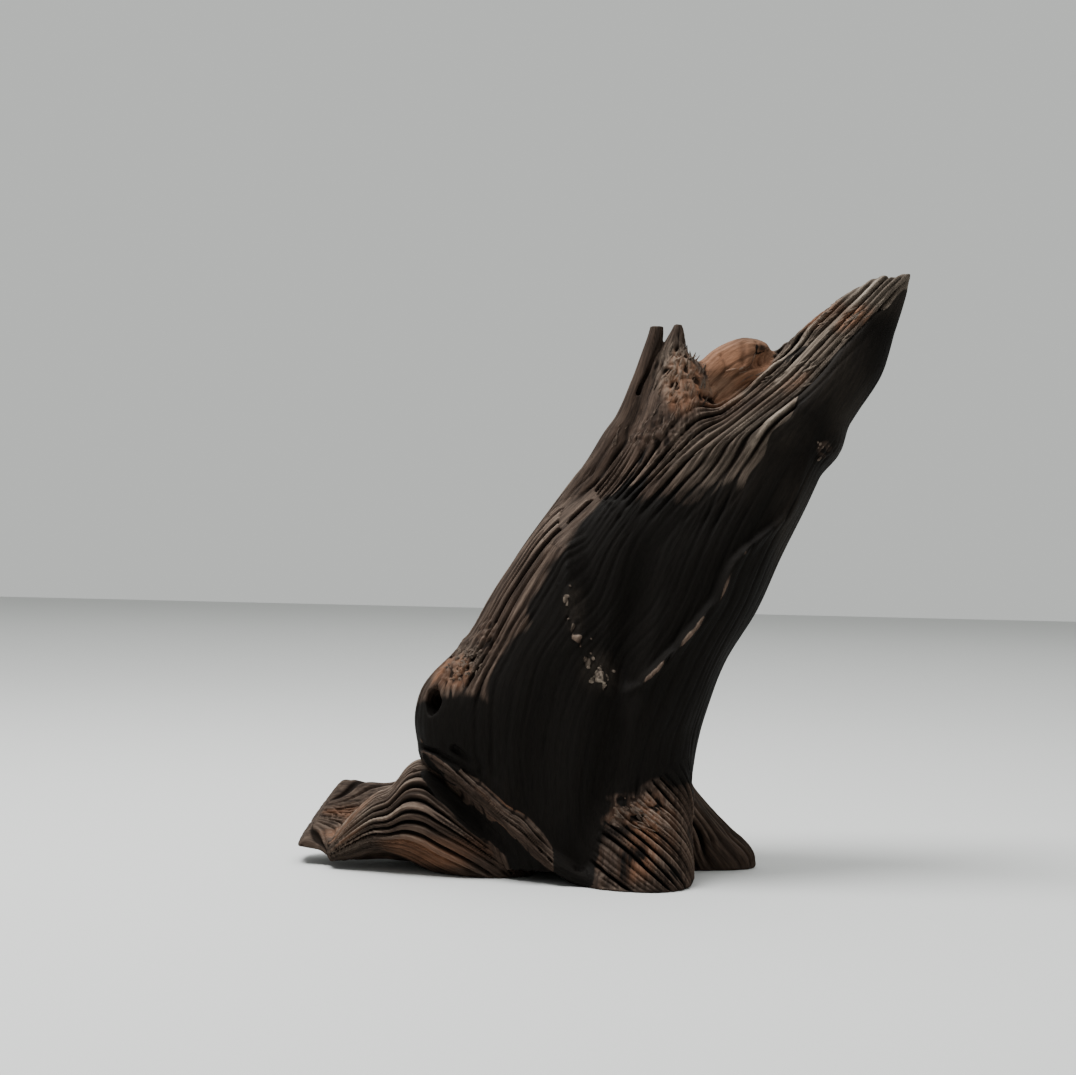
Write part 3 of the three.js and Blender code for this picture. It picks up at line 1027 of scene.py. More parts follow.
    def eye(self, x: Array, y: Array, z: Array) -> Array:
        """Distance from the knot hole in the knob, less than 0 in the hole.

        Args:
            x: left to right.
            y: front to back.
            z: up.

        Returns:
            The distance.
        """
        inward = unit(KNOT_HOLE_INWARD)
        px, py, pz = x - KNOT_HOLE[0], y - KNOT_HOLE[1], z - KNOT_HOLE[2]
        deep = px * inward[0] + py * inward[1] + pz * inward[2]
        sx, sy, sz = px - deep * inward[0], py - deep * inward[1], pz - deep * inward[2]
        ragged = 2.2 * (lumps(x, y, z, 4.0, 71) - 0.5)
        radius = 5.6 - 0.2 * deep + ragged
        return np.sqrt((sx * sx + sy * sy) * 1.3 + sz * sz * 0.6) - radius

    def hollows(self, x: Array, y: Array, z: Array) -> Array:
        """Distance from the nearest rotted hollow by the knuckle and the tip, less than 0 in it.

        Args:
            x: left to right.
            y: front to back.
            z: up.

        Returns:
            The distance.
        """
        run = unit((SCARF_RUN[0], 0.0, SCARF_RUN[2]))
        nearest = np.full_like(x, 99.0)
        for middle, radii in HOLLOWS:
            px, py, pz = x - middle[0], y - middle[1], z - middle[2]
            along, rise = px * run[0] + pz * run[2], pz * run[0] - px * run[2]
            size = (along / radii[0]) ** 2 + (py / radii[1]) ** 2 + (rise / radii[2]) ** 2
            nearest = np.minimum(nearest, (np.sqrt(size) - 1.0) * radii[2])
        return nearest

    def slit(self, x: Array, y: Array, z: Array) -> Array:
        """Distance from the dark slit that parts the two splinters, less than 0 in it.

        Args:
            x: left to right.
            y: front to back.
            z: up.

        Returns:
            The distance.
        """
        middle = 21.6 + (z - 230.0) * 0.404 + 1.2 * (lumps(x * 0, x * 0, z, 7.0, 73) - 0.5)
        side = np.abs(x - middle) - 0.9 - 0.05 * np.maximum(z - 246.0, 0.0)
        return np.maximum(np.maximum(side, y + 1.0), np.maximum(227.0 - z, z - 266.0))

    def skins(self) -> list[Limb | Rift]:
        """Everything that has grain of its own.

        Returns:
            The limbs and the breaks, in a fixed order.
        """
        return [
            self.trunk, self.knob, self.left_flap, self.left_drape, self.strip_root,
            self.centre_foot, self.right_root, self.back_root, self.back_left_root,
            self.knuckle, self.left_splinter, self.right_splinter, self.front_rift,
            self.back_rift,
        ]

    def relief(self, x: Array, y: Array, z: Array) -> tuple[Array, Array]:
        """Height of the weathered ridges at points on the smooth skin.

        Args:
            x: left to right.
            y: front to back.
            z: up.

        Returns:
            Heights in millimetres, and how deep in a crack each point is.
        """
        total, cracks, weight = np.zeros_like(x), np.zeros_like(x), np.full_like(x, 1e-4)
        top = np.zeros_like(x)
        for skin in self.skins():
            near = np.exp(-((skin.distance(x, y, z) / skin.reach) ** 2))
            if skin is self.front_rift:
                near = 3.0 * near * smooth(-104.0, -84.0, skin.frame(x, y, z)[1])
                near = near * smooth(0.5, 4.0, self.knuckle.distance(x, y, z))
            top = np.maximum(top, near)
            live = near > 0.003
            if not live.any():
                continue
            height, crack = skin.relief(x[live], y[live], z[live])
            total[live] += near[live] * height
            cracks[live] += near[live] * crack
            weight[live] += near[live]
        rotted = strongest(ROTTED, x, y, z)
        froth = lumps(x, y, z / 1.6, 2.4, 81)
        fine = lumps(x, y, z, 1.6, 83)
        pits = -1.4 * smooth(0.5, 0.78, froth) - 0.7 * smooth(0.5, 0.8, fine) + 0.6
        upper = smooth(158.0, 176.0, z) * smooth(74.0, 50.0, x)
        calm = (1.0 - (0.86 - 0.5 * upper) * self.shade(x, y, z)) * smooth(0.0, 3.0, z + 0.4)
        calm = calm * (0.25 + 0.75 * smooth(0.0, 5.0, -slope(FLAP_END, x, y, z)))
        front, back = self.front_rift.distance(x, y, z), self.back_rift.distance(x, y, z)
        calm = calm * (1.0 - 0.6 * np.exp(-((front**2 + back**2) / 12.0)))
        calm = calm * (1.0 - 0.55 * smooth(142.0, 150.0, x)) * (1.0 - strongest(SMOOTHED, x, y, z))
        left, right = self.rims(x, y, z)
        alone = 0.2 + 0.8 * smooth(0.52, 0.85, top / weight)
        height = (total / weight * alone * (1.0 - 0.5 * rotted) + pits * rotted) * calm
        height = height + 0.7 * left + 0.8 * right
        crack = cracks / weight * (1.0 - rotted) + 0.8 * rotted * smooth(0.55, 0.8, froth)
        return height, crack * (0.35 + 0.65 * calm)

    def rims(self, x: Array, y: Array, z: Array) -> tuple[Array, Array]:
        """How far points lie on the crumbs of the scoop's left rim and on its broken right lip.

        Args:
            x: left to right.
            y: front to back.
            z: up.

        Returns:
            The shares of the left rim and of the right lip, from 0 to 1.
        """
        at, edges = spline_table(SCOOP)
        left = np.exp(-(((x - np.interp(z, at, edges[:, 0]) + 1.0) / 3.2) ** 2))
        left = left * smooth(84.0, 90.0, z) * smooth(150.0, 132.0, z) * smooth(-20.0, -30.0, y)
        left = left * smooth(0.5, 0.72, lumps(x, y, z, 3.0, 107))
        right = np.exp(-(((x - np.interp(z, at, edges[:, 1])) / 1.4) ** 2))
        right = right * smooth(86.0, 94.0, z) * smooth(190.0, 165.0, z) * smooth(0.0, -20.0, y)
        broken = smooth(0.12, 0.5, noise(z / 7.0, x * 0.0, 103))
        return left, right * broken * (0.5 + 0.5 * smooth(140.0, 108.0, z))

    def grain(self, x: Array, y: Array, z: Array) -> Array:
        """Coordinates that run along the grain of the limb that each point lies on.

        Args:
            x: left to right.
            y: front to back.
            z: up.

        Returns:
            One row of three for each point.
        """
        nearest, found = np.full_like(x, 1e9), np.zeros((len(x), 3))
        for index, skin in enumerate(self.skins()):
            gap = np.abs(skin.distance(x, y, z))
            here = gap < nearest
            if here.any():
                found[here] = skin.grain(x[here], y[here], z[here]) + 31.0 * index
                nearest[here] = gap[here]
        return found

    def shade(self, x: Array, y: Array, z: Array) -> Array:
        """How far points lie on the smooth, dark front, from 0 to 1: dark bog wood under painted shade.

        Args:
            x: left to right.
            y: front to back.
            z: up.

        Returns:
            The share at each point.
        """
        _, du, dv, half_s, half_u = self.trunk.sections(x, y, z)
        across, deep = du / half_s, dv / half_u
        # Painted shade: the dark wraps round the right flank, which faces away from the light.
        right = smooth(0.2, 0.85, across)
        front = smooth(0.1 + 0.6 * right, -0.35 + 0.5 * right, deep)
        front = front * smooth(-0.8, -0.52, across + 0.14 * (lumps(x, y, z, 9.0, 91) - 0.5))
        _, u, v = self.front_rift.frame(x, y, z)
        across = self.front_rift.across(u, v)
        ragged = noise(across / 4.4, u / 60.0, 97)
        reach = 34.0 + 8.0 * smooth(4.0, -8.0, u)
        below = smooth(0.0, 3.0, across - reach + 4.0 * (noise(u / 9.0, across / 9.0, 99) - 0.5))
        slant = -84.0 + 1.5 * np.clip(across - 20.0, 0.0, 26.0)
        low_end = smooth(15.0, -17.0, u - slant + 16.0 * (ragged - 0.5))
        front = front * np.maximum(below, low_end)
        front = front * smooth(0.0, 6.0, -self.back_rift.distance(x, y, z))
        foot = self.centre_foot.distance(x, y, z) + 10.0 * smooth(6.0, -4.0, x)
        foot = foot + 2.5 + 9.0 * smooth(42.0, 56.0, z)
        strip = self.strip_root.distance(x, y, z) + 20.0 * smooth(-18.0, -2.0, x)
        roots = np.minimum(foot, self.left_drape.distance(x, y, z))
        roots = np.minimum(roots, self.right_root.distance(x, y, z) + 8.0 * smooth(36.0, 52.0, z))
        free = smooth(-1.0, 12.0, roots + 9.0 * (lumps(x, y, z, 8.0, 95) - 0.5))
        free = free * smooth(0.4, 2.2, strip)
        # Painted shade under the knob's lower front, which is turned away from the light.
        under_knob_shade = smooth(10.0, 2.0, self.knob.distance(x, y, z)) * smooth(90.0, 70.0, z + 0.4 * y + 12)
        left, right = self.rims(x, y, z)
        stained_and_shaded = np.maximum(front * free, under_knob_shade * smooth(4.0, -8.0, y) * free)
        # The crumbs on the scoop's left rim are paler wood; the right lip is lightened as a painted
        # highlight where it catches the light.
        stained_and_shaded = stained_and_shaded * (1.0 - 0.9 * np.maximum(left, 0.8 * right))
        # Scuffed wear lifts the dark, and beside the knot hole so does a painted glint.
        stained_and_shaded = stained_and_shaded * (1.0 - strongest(SCUFFS_AND_GLINT, x, y, z) * smooth(0.3, 0.6, lumps(x, y, z, 3.6, 109)))
        # Painted shade in the creases between the folds of the foot.
        crease_shade = 0.9 * smooth(1.5, 0.2, self.creases(x, y, z))
        # Painted shade in the pocket and hollows, and two darkened patches.
        return np.maximum(np.maximum(stained_and_shaded, crease_shade), strongest(PAINTED_SHADE_PATCHES, x, y, z))


WOOD = Bogwood()

Plane = tuple[Vec, Vec]
SPLINTER_FOOT: Plane = ((22, 0, 203), (-0.5, 0, 0.866))
FORKS: dict[str, list[Plane]] = {
    "spire": [((84, 0, 214), (0.72, 0, 0.69))],
    "right_root": [((52, 0, 42), (0.85, 0, -0.53)), ((48, -32, 0), (0.5, 0.87, 0))],
    "back_root": [((6, 46, 52), (0.05, 0.85, -0.53)), ((-24, 50, 20), (0.85, -0.5, 0))],
    "back_left_root": [((-45, 32, 44), (-0.57, 0.63, -0.53)), ((-50, 30, 0), (0.38, 0.92, 0))],
    "left_root": [((-57, 0, 28), (-0.62, -0.05, -0.785))],
    "centre_root": [((30, -43, 42), (0, -0.85, -0.53)), ((-2, -50, 0), (0.96, -0.1, 0.26))],
    "front_left_root": [
        ((-63, -14, 52), (-0.436, -0.9, 0)),
        ((-61, -22, 61), (-0.477, 0.231, -0.85)),
    ],
}


def past(planes: list[Plane], x: Array, y: Array, z: Array) -> Array:
    """How far points are past every plane of a fork, less than 0 short of one.

    Args:
        planes: the planes, each as a point and the way that it faces.
        x: left to right.
        y: front to back.
        z: up.

    Returns:
        The distance past the nearest plane.
    """
    reach = None
    for plane in planes:
        ahead = slope(plane, x, y, z)
        reach = ahead if reach is None else np.minimum(reach, ahead)
    return reach


def membership(node: str, x: Array, y: Array, z: Array) -> Array:
    """How deep points lie in the share of the wood that a node has, less than 0 outside it.

    Args:
        node: the CAD node.
        x: left to right.
        y: front to back.
        z: up.

    Returns:
        Distances to the nearest fork, in millimetres.
    """
    knuckle = 1.0 - WOOD.knuckle.distance(x, y, z)
    if node == "knuckle":
        return knuckle
    prongs = np.minimum(
        WOOD.left_splinter.distance(x, y, z), WOOD.right_splinter.distance(x, y, z)
    )
    prongs = np.minimum(1.5 - prongs, past([SPLINTER_FOOT], x, y, z))
    if node == "splinters":
        return np.minimum(prongs, -knuckle)
    share = np.minimum(-knuckle, -prongs)
    for name, planes in FORKS.items():
        reach = past(planes, x, y, z)
        if name == node:
            return np.minimum(share, reach)
        share = np.minimum(share, -reach)
    return share


def sample_field(voxel: float) -> Array:
    """The wood's distance field on a grid over its box, worked out only near the skin.

    Args:
        voxel: spacing of the grid, in millimetres.

    Returns:
        The distances, with the first index running left to right.
    """
    block = 8
    low = np.array(LOW, np.float32)
    cells = np.ceil((np.array(HIGH) - low) / voxel / block).astype(int)
    span = block * voxel
    middles = [low[i] + (np.arange(cells[i]) + 0.5) * span for i in range(3)]
    x, y, z = (a.ravel() for a in np.meshgrid(*middles, indexing="ij"))
    rough = WOOD.distance(x, y, z)
    active = np.nonzero(np.abs(rough) < span * 1.25 + 3.0)[0]
    values = np.repeat(np.where(rough < 0, -30.0, 30.0).astype(np.float32), block**3)
    values = values.reshape(-1, block**3)
    local = np.indices((block,) * 3).reshape(3, -1)
    index = np.array(np.unravel_index(active, cells))
    for start in range(0, len(active), 400):
        some = index[:, start : start + 400, None] * block + local[:, None, :]
        x, y, z = (low[i] + some[i].ravel() * np.float32(voxel) for i in range(3))
        values[active[start : start + 400]] = WOOD.distance(x, y, z).reshape(-1, block**3)
    values = values.reshape(*cells, *(block,) * 3).transpose(0, 3, 1, 4, 2, 5)
    return np.ascontiguousarray(values.reshape(cells * block))


def corner_normals(points: Array, quads: Array) -> Array:
    """Smooth normals of a quad mesh, one for each point.

    Args:
        points: the mesh's points.
        quads: four point numbers for each face.

    Returns:
        One unit vector for each point.
    """
    a = points[quads[:, 2]] - points[quads[:, 0]]
    b = points[quads[:, 3]] - points[quads[:, 1]]
    faces = np.cross(a, b)
    total = np.zeros_like(points)
    for i in range(3):
        for corner in range(4):
            total[:, i] += np.bincount(quads[:, corner], faces[:, i], len(points))
    return total / (np.linalg.norm(total, axis=1, keepdims=True) + 1e-9)


def edge_pairs(quads: Array) -> tuple[Array, Array, Array]:
    """Every edge between two quads: its two points as rows, and the quad on each side.

    Args:
        quads: four point numbers for each face.

    Returns:
        The points, the quads on one side and those on the other.
    """
    start, end = quads.ravel(), np.roll(quads, -1, axis=1).ravel()
    face = np.repeat(np.arange(len(quads)), 4)
    low, high = np.minimum(start, end), np.maximum(start, end)
    order = np.lexsort((high, low))
    low, high, face = low[order], high[order], face[order]
    k = np.nonzero((low[1:] == low[:-1]) & (high[1:] == high[:-1]))[0]
    return np.stack([low[k], high[k]]), face[k], face[k + 1]


def islands(count: int, first: Array, second: Array) -> Array:
    """Numbers the connected groups among count faces joined in pairs.

    Args:
        count: how many faces there are.
        first: one face of each pair.
        second: the other.

    Returns:
        The lowest face number of each face's group.
    """
    label = np.arange(count)
    while True:
        low = np.minimum(label[first], label[second])
        found = label.copy()
        for side in (first, second, label[first], label[second]):
            np.minimum.at(found, side, low)
        found = found[found]
        if (found == label).all():
            return label
        label = found


def open_loops(quads: Array) -> list[list[int]]:
    """Closed runs of points round the open edges of a mesh, in the order of its faces.

    Args:
        quads: four point numbers for each face.

    Returns:
        The point numbers of each run.
    """
    start, end = quads.ravel(), np.roll(quads, -1, axis=1).ravel()
    count = int(quads.max()) + 1
    rim = ~np.isin(start * count + end, end * count + start)
    follow = dict(zip(start[rim].tolist(), end[rim].tolist()))
    loops = []
    while follow:
        first, at = follow.popitem()
        loop = [first]
        while at != first and at in follow:
            loop.append(at)
            at = follow.pop(at)
        loops.append(loop)
    return loops


class Skin:
    """The wood's whole skin, meshed once so that pieces cut from it meet without a seam.

    Attributes:
        quads: rows of four point numbers.
        points: the finished points, in millimetres.
        normals: smooth normals of the points.
        outward: normals of the points before the ridges were raised.
        traits: what the finishes need to know at each point, by name.
        owners: the number of the piece that each quad belongs to.
    """

    def __init__(self, pieces: "list[Piece]") -> None:
        """Meshes the field, raises the ridges and shares the quads out.

        Args:
            pieces: the pieces that the skin is cut into.
        """
        grid = openvdb.FloatGrid(5.0)
        grid.copyFromArray(np.clip(sample_field(VOXEL), -5.0, 5.0))
        points, quads = grid.convertToQuads(0.0)
        base = points.astype(np.float64) * VOXEL + np.array(LOW)
        self.quads = quads.astype(np.int64)
        x, y, z = base.T
        relief, crack = WOOD.relief(x, y, z)
        self.outward = corner_normals(base, self.quads)
        self.points = base + self.outward * relief[:, None]
        self.points[:, 2] = np.maximum(self.points[:, 2], 0.0)
        self.normals = corner_normals(self.points, self.quads)
        self.traits = {
            "relief": relief,
            "crack": crack,
            "grain": WOOD.grain(x, y, z),
            # The dark front's share: dark bog wood with painted shade over it.
            "stain": WOOD.shade(x, y, z),
            "warm": strongest(WARMED, x, y, z),
            "rotted": strongest(ROTTED, x, y, z),
            "bleached": strongest(BLEACHED, x, y, z),
        }
        self.share_out(pieces, base)

    def share_out(self, pieces: "list[Piece]", base: Array) -> None:
        """Gives every quad to a piece, so that every piece has whole patches with clean edges.

        Args:
            pieces: the pieces.
            base: the points before the ridges were raised.
        """
        middles = base[self.quads].mean(axis=1)
        self.owners = np.stack([piece.share(*middles.T) for piece in pieces]).argmax(axis=0)
        ends, first, second = edge_pairs(self.quads)
        for _ in range(8):
            same = self.owners[first] == self.owners[second]
            label = islands(len(self.quads), first[same], second[same])
            small = np.bincount(label, minlength=len(label))[label] < 400
            for inner, outer in ((first, second), (second, first)):
                take = small[inner] & ~same & ~small[outer]
                heir = np.full(len(label), -1)
                heir[label[inner[take]]] = self.owners[outer[take]]
                moved = small & (heir[label] >= 0)
                self.owners[moved] = heir[label[moved]]
            split = self.owners[first] != self.owners[second]
            corners = np.tile(ends[:, split].ravel(), 2)
            sides = np.repeat([self.owners[first[split]], self.owners[second[split]]], 2, axis=0)
            keys, counts = np.unique(corners * len(pieces) + sides.ravel(), return_counts=True)
            pinched = keys[counts > 2] // len(pieces)
            if not len(pinched) and not small.any():
                break
            lowest = np.full(len(base), len(pieces))
            touching = np.isin(self.quads, pinched)
            rows = np.nonzero(touching.any(axis=1))[0]
            np.minimum.at(lowest, self.quads[rows].ravel(), np.repeat(self.owners[rows], 4))
            best = np.where(touching[rows], lowest[self.quads[rows]], len(pieces)).min(axis=1)
            self.owners[rows] = best

    def cut_out(
        self, owner: int, core: Vec | None
    ) -> tuple[Array, Array, Array, Array, dict[str, Array]]:
        """One piece of the skin, closed where it was cut by cones that end inside the wood.

        Args:
            owner: the piece's number.
            core: where the cones end, or None for the middle of each cut.

        Returns:
            Points, normals, quads, triangles, and the traits at each point.
        """
        chosen = self.quads[self.owners == owner]
        used, quads = np.unique(chosen, return_inverse=True)
        quads = quads.reshape(-1, 4)
        points, normals = self.points[used], self.normals[used]
        traits = {key: values[used] for key, values in self.traits.items()}
        walls, cones = [quads], [np.zeros((0, 3), np.int64)]
        for loop in open_loops(quads):
            sunk = points[loop] - WALL * self.outward[used[loop]]
            if core is None:
                middle = sunk.mean(axis=0)
                reach = float(np.linalg.norm(sunk - middle, axis=1).mean())
                tip = middle - 0.4 * reach * self.outward[used[loop]].mean(axis=0)
            else:
                tip = np.array(core)
            inner = len(points) + np.arange(len(loop))
            follow, inner_follow = np.roll(loop, -1), np.roll(inner, -1)
            walls.append(np.stack([follow, loop, inner, inner_follow], axis=1))
            end = np.full(len(loop), len(points) + len(loop))
            cones.append(np.stack([inner_follow, inner, end], axis=1))
            points = np.vstack([points, sunk, tip])
            normals = np.vstack([normals, normals[loop], (0.0, 0.0, 1.0)])
            traits = {
                key: np.concatenate([values, values[loop], values[loop[:1]]])
                for key, values in traits.items()
            }
        return points, normals, np.concatenate(walls), np.concatenate(cones), traits


def build_mesh(
    name: str, points: Array, normals: Array, quads: Array, triangles: Array, traits: dict[str, Array]
) -> bpy.types.Mesh:
    """Makes a Blender mesh from points in millimetres.

    Args:
        name: the mesh's name.
        points: one row for each point.
        normals: the shading normal of each point.
        quads: rows of four point numbers.
        triangles: rows of three point numbers.
        traits: values for each point, one or three numbers each.

    Returns:
        The mesh, in metres in the frame.
    """
    mesh = bpy.data.meshes.new(name)
    corners = np.concatenate([quads.ravel(), triangles.ravel()]).astype(np.int32)
    starts = np.concatenate(
        [np.arange(len(quads)) * 4, quads.size + np.arange(len(triangles)) * 3]
    ).astype(np.int32)
    mesh.vertices.add(len(points))
    mesh.vertices.foreach_set("co", ((points - ORIGIN) * MM).astype(np.float32).ravel())
    mesh.loops.add(len(corners))
    mesh.loops.foreach_set("vertex_index", corners)
    mesh.polygons.add(len(starts))
    mesh.polygons.foreach_set("loop_start", starts)
    mesh.polygons.foreach_set("use_smooth", np.ones(len(starts), bool))
    for key, values in traits.items():
        vector = values.ndim == 2
        made = mesh.attributes.new(key, "FLOAT_VECTOR" if vector else "FLOAT", "POINT")
        made.data.foreach_set("vector" if vector else "value", values.astype(np.float32).ravel())
    mesh.update(calc_edges=True)
    mesh.validate()
    mesh.normals_split_custom_set_from_vertices(normals.tolist())
    return mesh


def link(mesh: bpy.types.Mesh) -> bpy.types.Object:
    """Puts a mesh in the scene as an object at the origin.

    Args:
        mesh: the mesh, which gives the name.

    Returns:
        The new object.
    """
    made = bpy.data.objects.new(mesh.name, mesh)
    bpy.context.scene.collection.objects.link(made)
    return made


class Nodes:
    """A short way to write a node tree."""

    def __init__(self, tree: bpy.types.NodeTree) -> None:
        """Starts on a tree.

        Args:
            tree: the node tree that is filled.
        """
        self.tree = tree

    def add(self, kind: str, **settings: object) -> bpy.types.Node:
        """Adds a node and sets its properties.

        Args:
            kind: the node's type.
            **settings: properties and their values.

        Returns:
            The new node.
        """
        node = self.tree.nodes.new(kind)
        for key, value in settings.items():
            setattr(node, key, value)
        return node

    def join(self, source: object, target: object) -> None:
        """Links an output to an input, or sets the input to a constant.

        Args:
            source: an output, or a constant.
            target: the input.
        """
        if isinstance(source, bpy.types.NodeSocket):
            self.tree.links.new(source, target)
        else:
            target.default_value = source

    def maths(self, operation: str, *values: object, clamp: bool = False) -> object:
        """Adds a Math node.

        Args:
            operation: what the node does.
            *values: outputs or constants for its inputs.
            clamp: keeps the result between 0 and 1.

        Returns:
            The node's output.
        """
        node = self.add("ShaderNodeMath", operation=operation, use_clamp=clamp)
        for value, socket in zip(values, node.inputs):
            self.join(value, socket)
        return node.outputs[0]

    def ease(self, value: object, low: float, high: float, to: tuple[float, float] = (0.0, 1.0)) -> object:
        """Maps a range onto another with eased ends.

        Args:
            value: the output to map.
            low: where its range starts.
            high: where its range ends.
            to: start and end of the new range.

        Returns:
            The mapped output.
        """
        node = self.add("ShaderNodeMapRange", interpolation_type="SMOOTHSTEP")
        for source, key in (
            (value, "Value"), (low, "From Min"), (high, "From Max"), (to[0], "To Min"), (to[1], "To Max"),
        ):
            self.join(source, node.inputs[key])
        return node.outputs["Result"]

    def noise(self, vector: object, scale: float, detail: float = 4.0, rough: float = 0.55) -> object:
        """Adds a Noise texture.

        Args:
            vector: coordinates that it is laid on.
            scale: how fine it is.
            detail: how many finer layers are added.
            rough: how strong the finer layers are.

        Returns:
            The texture's value.
        """
        node = self.add("ShaderNodeTexNoise")
        self.join(vector, node.inputs["Vector"])
        node.inputs["Scale"].default_value = scale
        node.inputs["Detail"].default_value = detail
        node.inputs["Roughness"].default_value = rough
        return node.outputs["Fac"]

    def mix(self, share: object, a: object, b: object, mode: str = "MIX") -> object:
        """Mixes two colours.

        Args:
            share: how much of the second there is.
            a: the first colour.
            b: the second colour.
            mode: how they are blended.

        Returns:
            The mixed colour.
        """
        node = self.add("ShaderNodeMix", data_type="RGBA", blend_type=mode)
        self.join(share, node.inputs[0])
        self.join(a, node.inputs[6])
        self.join(b, node.inputs[7])
        return node.outputs[2]


def new_group(name: str, inputs: dict[str, str], outputs: dict[str, str]) -> tuple[Nodes, object, object]:
    """Starts a shader node group.

    Args:
        name: the group's name.
        inputs: socket types by name.
        outputs: socket types by name.

    Returns:
        The writer, the group's input node and its output node.
    """
    tree = bpy.data.node_groups.new(name, "ShaderNodeTree")
    for key, kind in inputs.items():
        tree.interface.new_socket(key, in_out="INPUT", socket_type=kind)
    for key, kind in outputs.items():
        tree.interface.new_socket(key, in_out="OUTPUT", socket_type=kind)
    nodes = Nodes(tree)
    return nodes, nodes.add("NodeGroupInput"), nodes.add("NodeGroupOutput")


def grain_group() -> bpy.types.NodeTree:
    """Fine grain: long streaks, fibres and a slow mottle, from coordinates along the grain.

    Returns:
        The filled node tree.
    """
    nodes, start, end = new_group(
        "fine_grain",
        {"Grain": "NodeSocketVector"},
        {"Streak": "NodeSocketFloat", "Fibre": "NodeSocketFloat", "Mottle": "NodeSocketFloat"},
    )
    grain = start.outputs["Grain"]
    nodes.join(nodes.noise(grain, 0.55, 5.0, 0.6), end.inputs["Streak"])
    nodes.join(nodes.noise(grain, 2.1, 4.0, 0.65), end.inputs["Fibre"])
    nodes.join(nodes.noise(grain, 0.09, 3.0, 0.5), end.inputs["Mottle"])
    return nodes.tree


def wear_group() -> bpy.types.NodeTree:
    """Masks for the worn ridge crests, paled as a painted highlight, and the painted shade in their cracks.

    Returns:
        The filled node tree.
    """
    nodes, start, end = new_group(
        "ridge_wear",
        {"Relief": "NodeSocketFloat", "Crack": "NodeSocketFloat", "Streak": "NodeSocketFloat"},
        {"Crest": "NodeSocketFloat", "Groove": "NodeSocketFloat"},
    )
    shift = nodes.maths("MULTIPLY_ADD", start.outputs["Streak"], 1.6, -0.8)
    height = nodes.maths("ADD", start.outputs["Relief"], shift)
    clear = nodes.ease(start.outputs["Crack"], 0.3, 0.05)
    nodes.join(nodes.maths("MULTIPLY", nodes.ease(height, 0.05, 1.5), clear), end.inputs["Crest"])
    deep = nodes.maths("MULTIPLY_ADD", start.outputs["Streak"], 0.3, start.outputs["Crack"])
    nodes.join(nodes.ease(deep, 0.28, 0.72), end.inputs["Groove"])
    return nodes.tree


def dust_group() -> bpy.types.NodeTree:
    """Mask for the pale bloom that settles on faces turned up to the light.

    Returns:
        The filled node tree.
    """
    nodes, start, end = new_group(
        "settled_bloom", {"Streak": "NodeSocketFloat"}, {"Bloom": "NodeSocketFloat"}
    )
    normal = nodes.add("ShaderNodeNewGeometry").outputs["Normal"]
    split = nodes.add("ShaderNodeSeparateXYZ")
    nodes.join(normal, split.inputs[0])
    up = nodes.ease(split.outputs["Z"], 0.05, 0.85)
    broken = nodes.ease(start.outputs["Streak"], 0.3, 0.65)
    nodes.join(nodes.maths("MULTIPLY", up, broken), end.inputs["Bloom"])
    return nodes.tree


@dataclass(frozen=True)
class Finish:
    """Colours and sheen of one kind of wood surface.

    Attributes:
        slot: the record's slot that it belongs to.
        dark: colour of the wood between its paler streaks.
        light: colour of the streaks.
        crest: colour of worn ridge tops, paled further as a painted highlight.
        bloom: colour of faces turned up and of bleached wood, also a painted highlight on the crests.
        warm: colour of bare, freshly rotted wood.
        stain: colour of the dark bog wood, also laid on as painted shade.
        roughness: the surface's roughness.
        bump: depth of the fine grain, in millimetres.
        groove: how dark the painted shade in the cracks between the ridges is.
    """

    slot: Slot
    dark: Vec
    light: Vec
    crest: Vec
    bloom: Vec
    warm: Vec
    stain: Vec
    roughness: float = 0.82
    bump: float = 0.3
    groove: float = 0.9


def srgb(red: int, green: int, blue: int) -> Vec:
    """A colour from its usual 0 to 255 values.

    Args:
        red: red, 0 to 255.
        green: green, 0 to 255.
        blue: blue, 0 to 255.

    Returns:
        The colour as the shaders take it.
    """
    return tuple(
        ((c / 255 + 0.055) / 1.055) ** 2.4 if c > 10 else c / 255 / 12.92 for c in (red, green, blue)
    )


# Near-black of the dark bog wood, darkened further as painted shade where the front faces away from the
# light.
STAIN_AND_SHADE = srgb(17, 15, 13)
FINISHES = {
    Slot.DARK: Finish(
        Slot.DARK, srgb(44, 36, 31), srgb(70, 57, 49), srgb(104, 87, 76), srgb(158, 148, 134),
        srgb(146, 101, 74), STAIN_AND_SHADE,
    ),
    Slot.WEATHERED: Finish(
        Slot.WEATHERED, srgb(44, 36, 31), srgb(70, 57, 49), srgb(104, 87, 76), srgb(158, 148, 134),
        srgb(146, 101, 74), STAIN_AND_SHADE,
    ),
    Slot.HEART: Finish(
        Slot.HEART, srgb(78, 57, 44), srgb(116, 87, 69), srgb(150, 117, 96), srgb(160, 138, 120),
        srgb(138, 98, 74), STAIN_AND_SHADE, 0.78, 0.3, 0.5,
    ),
}


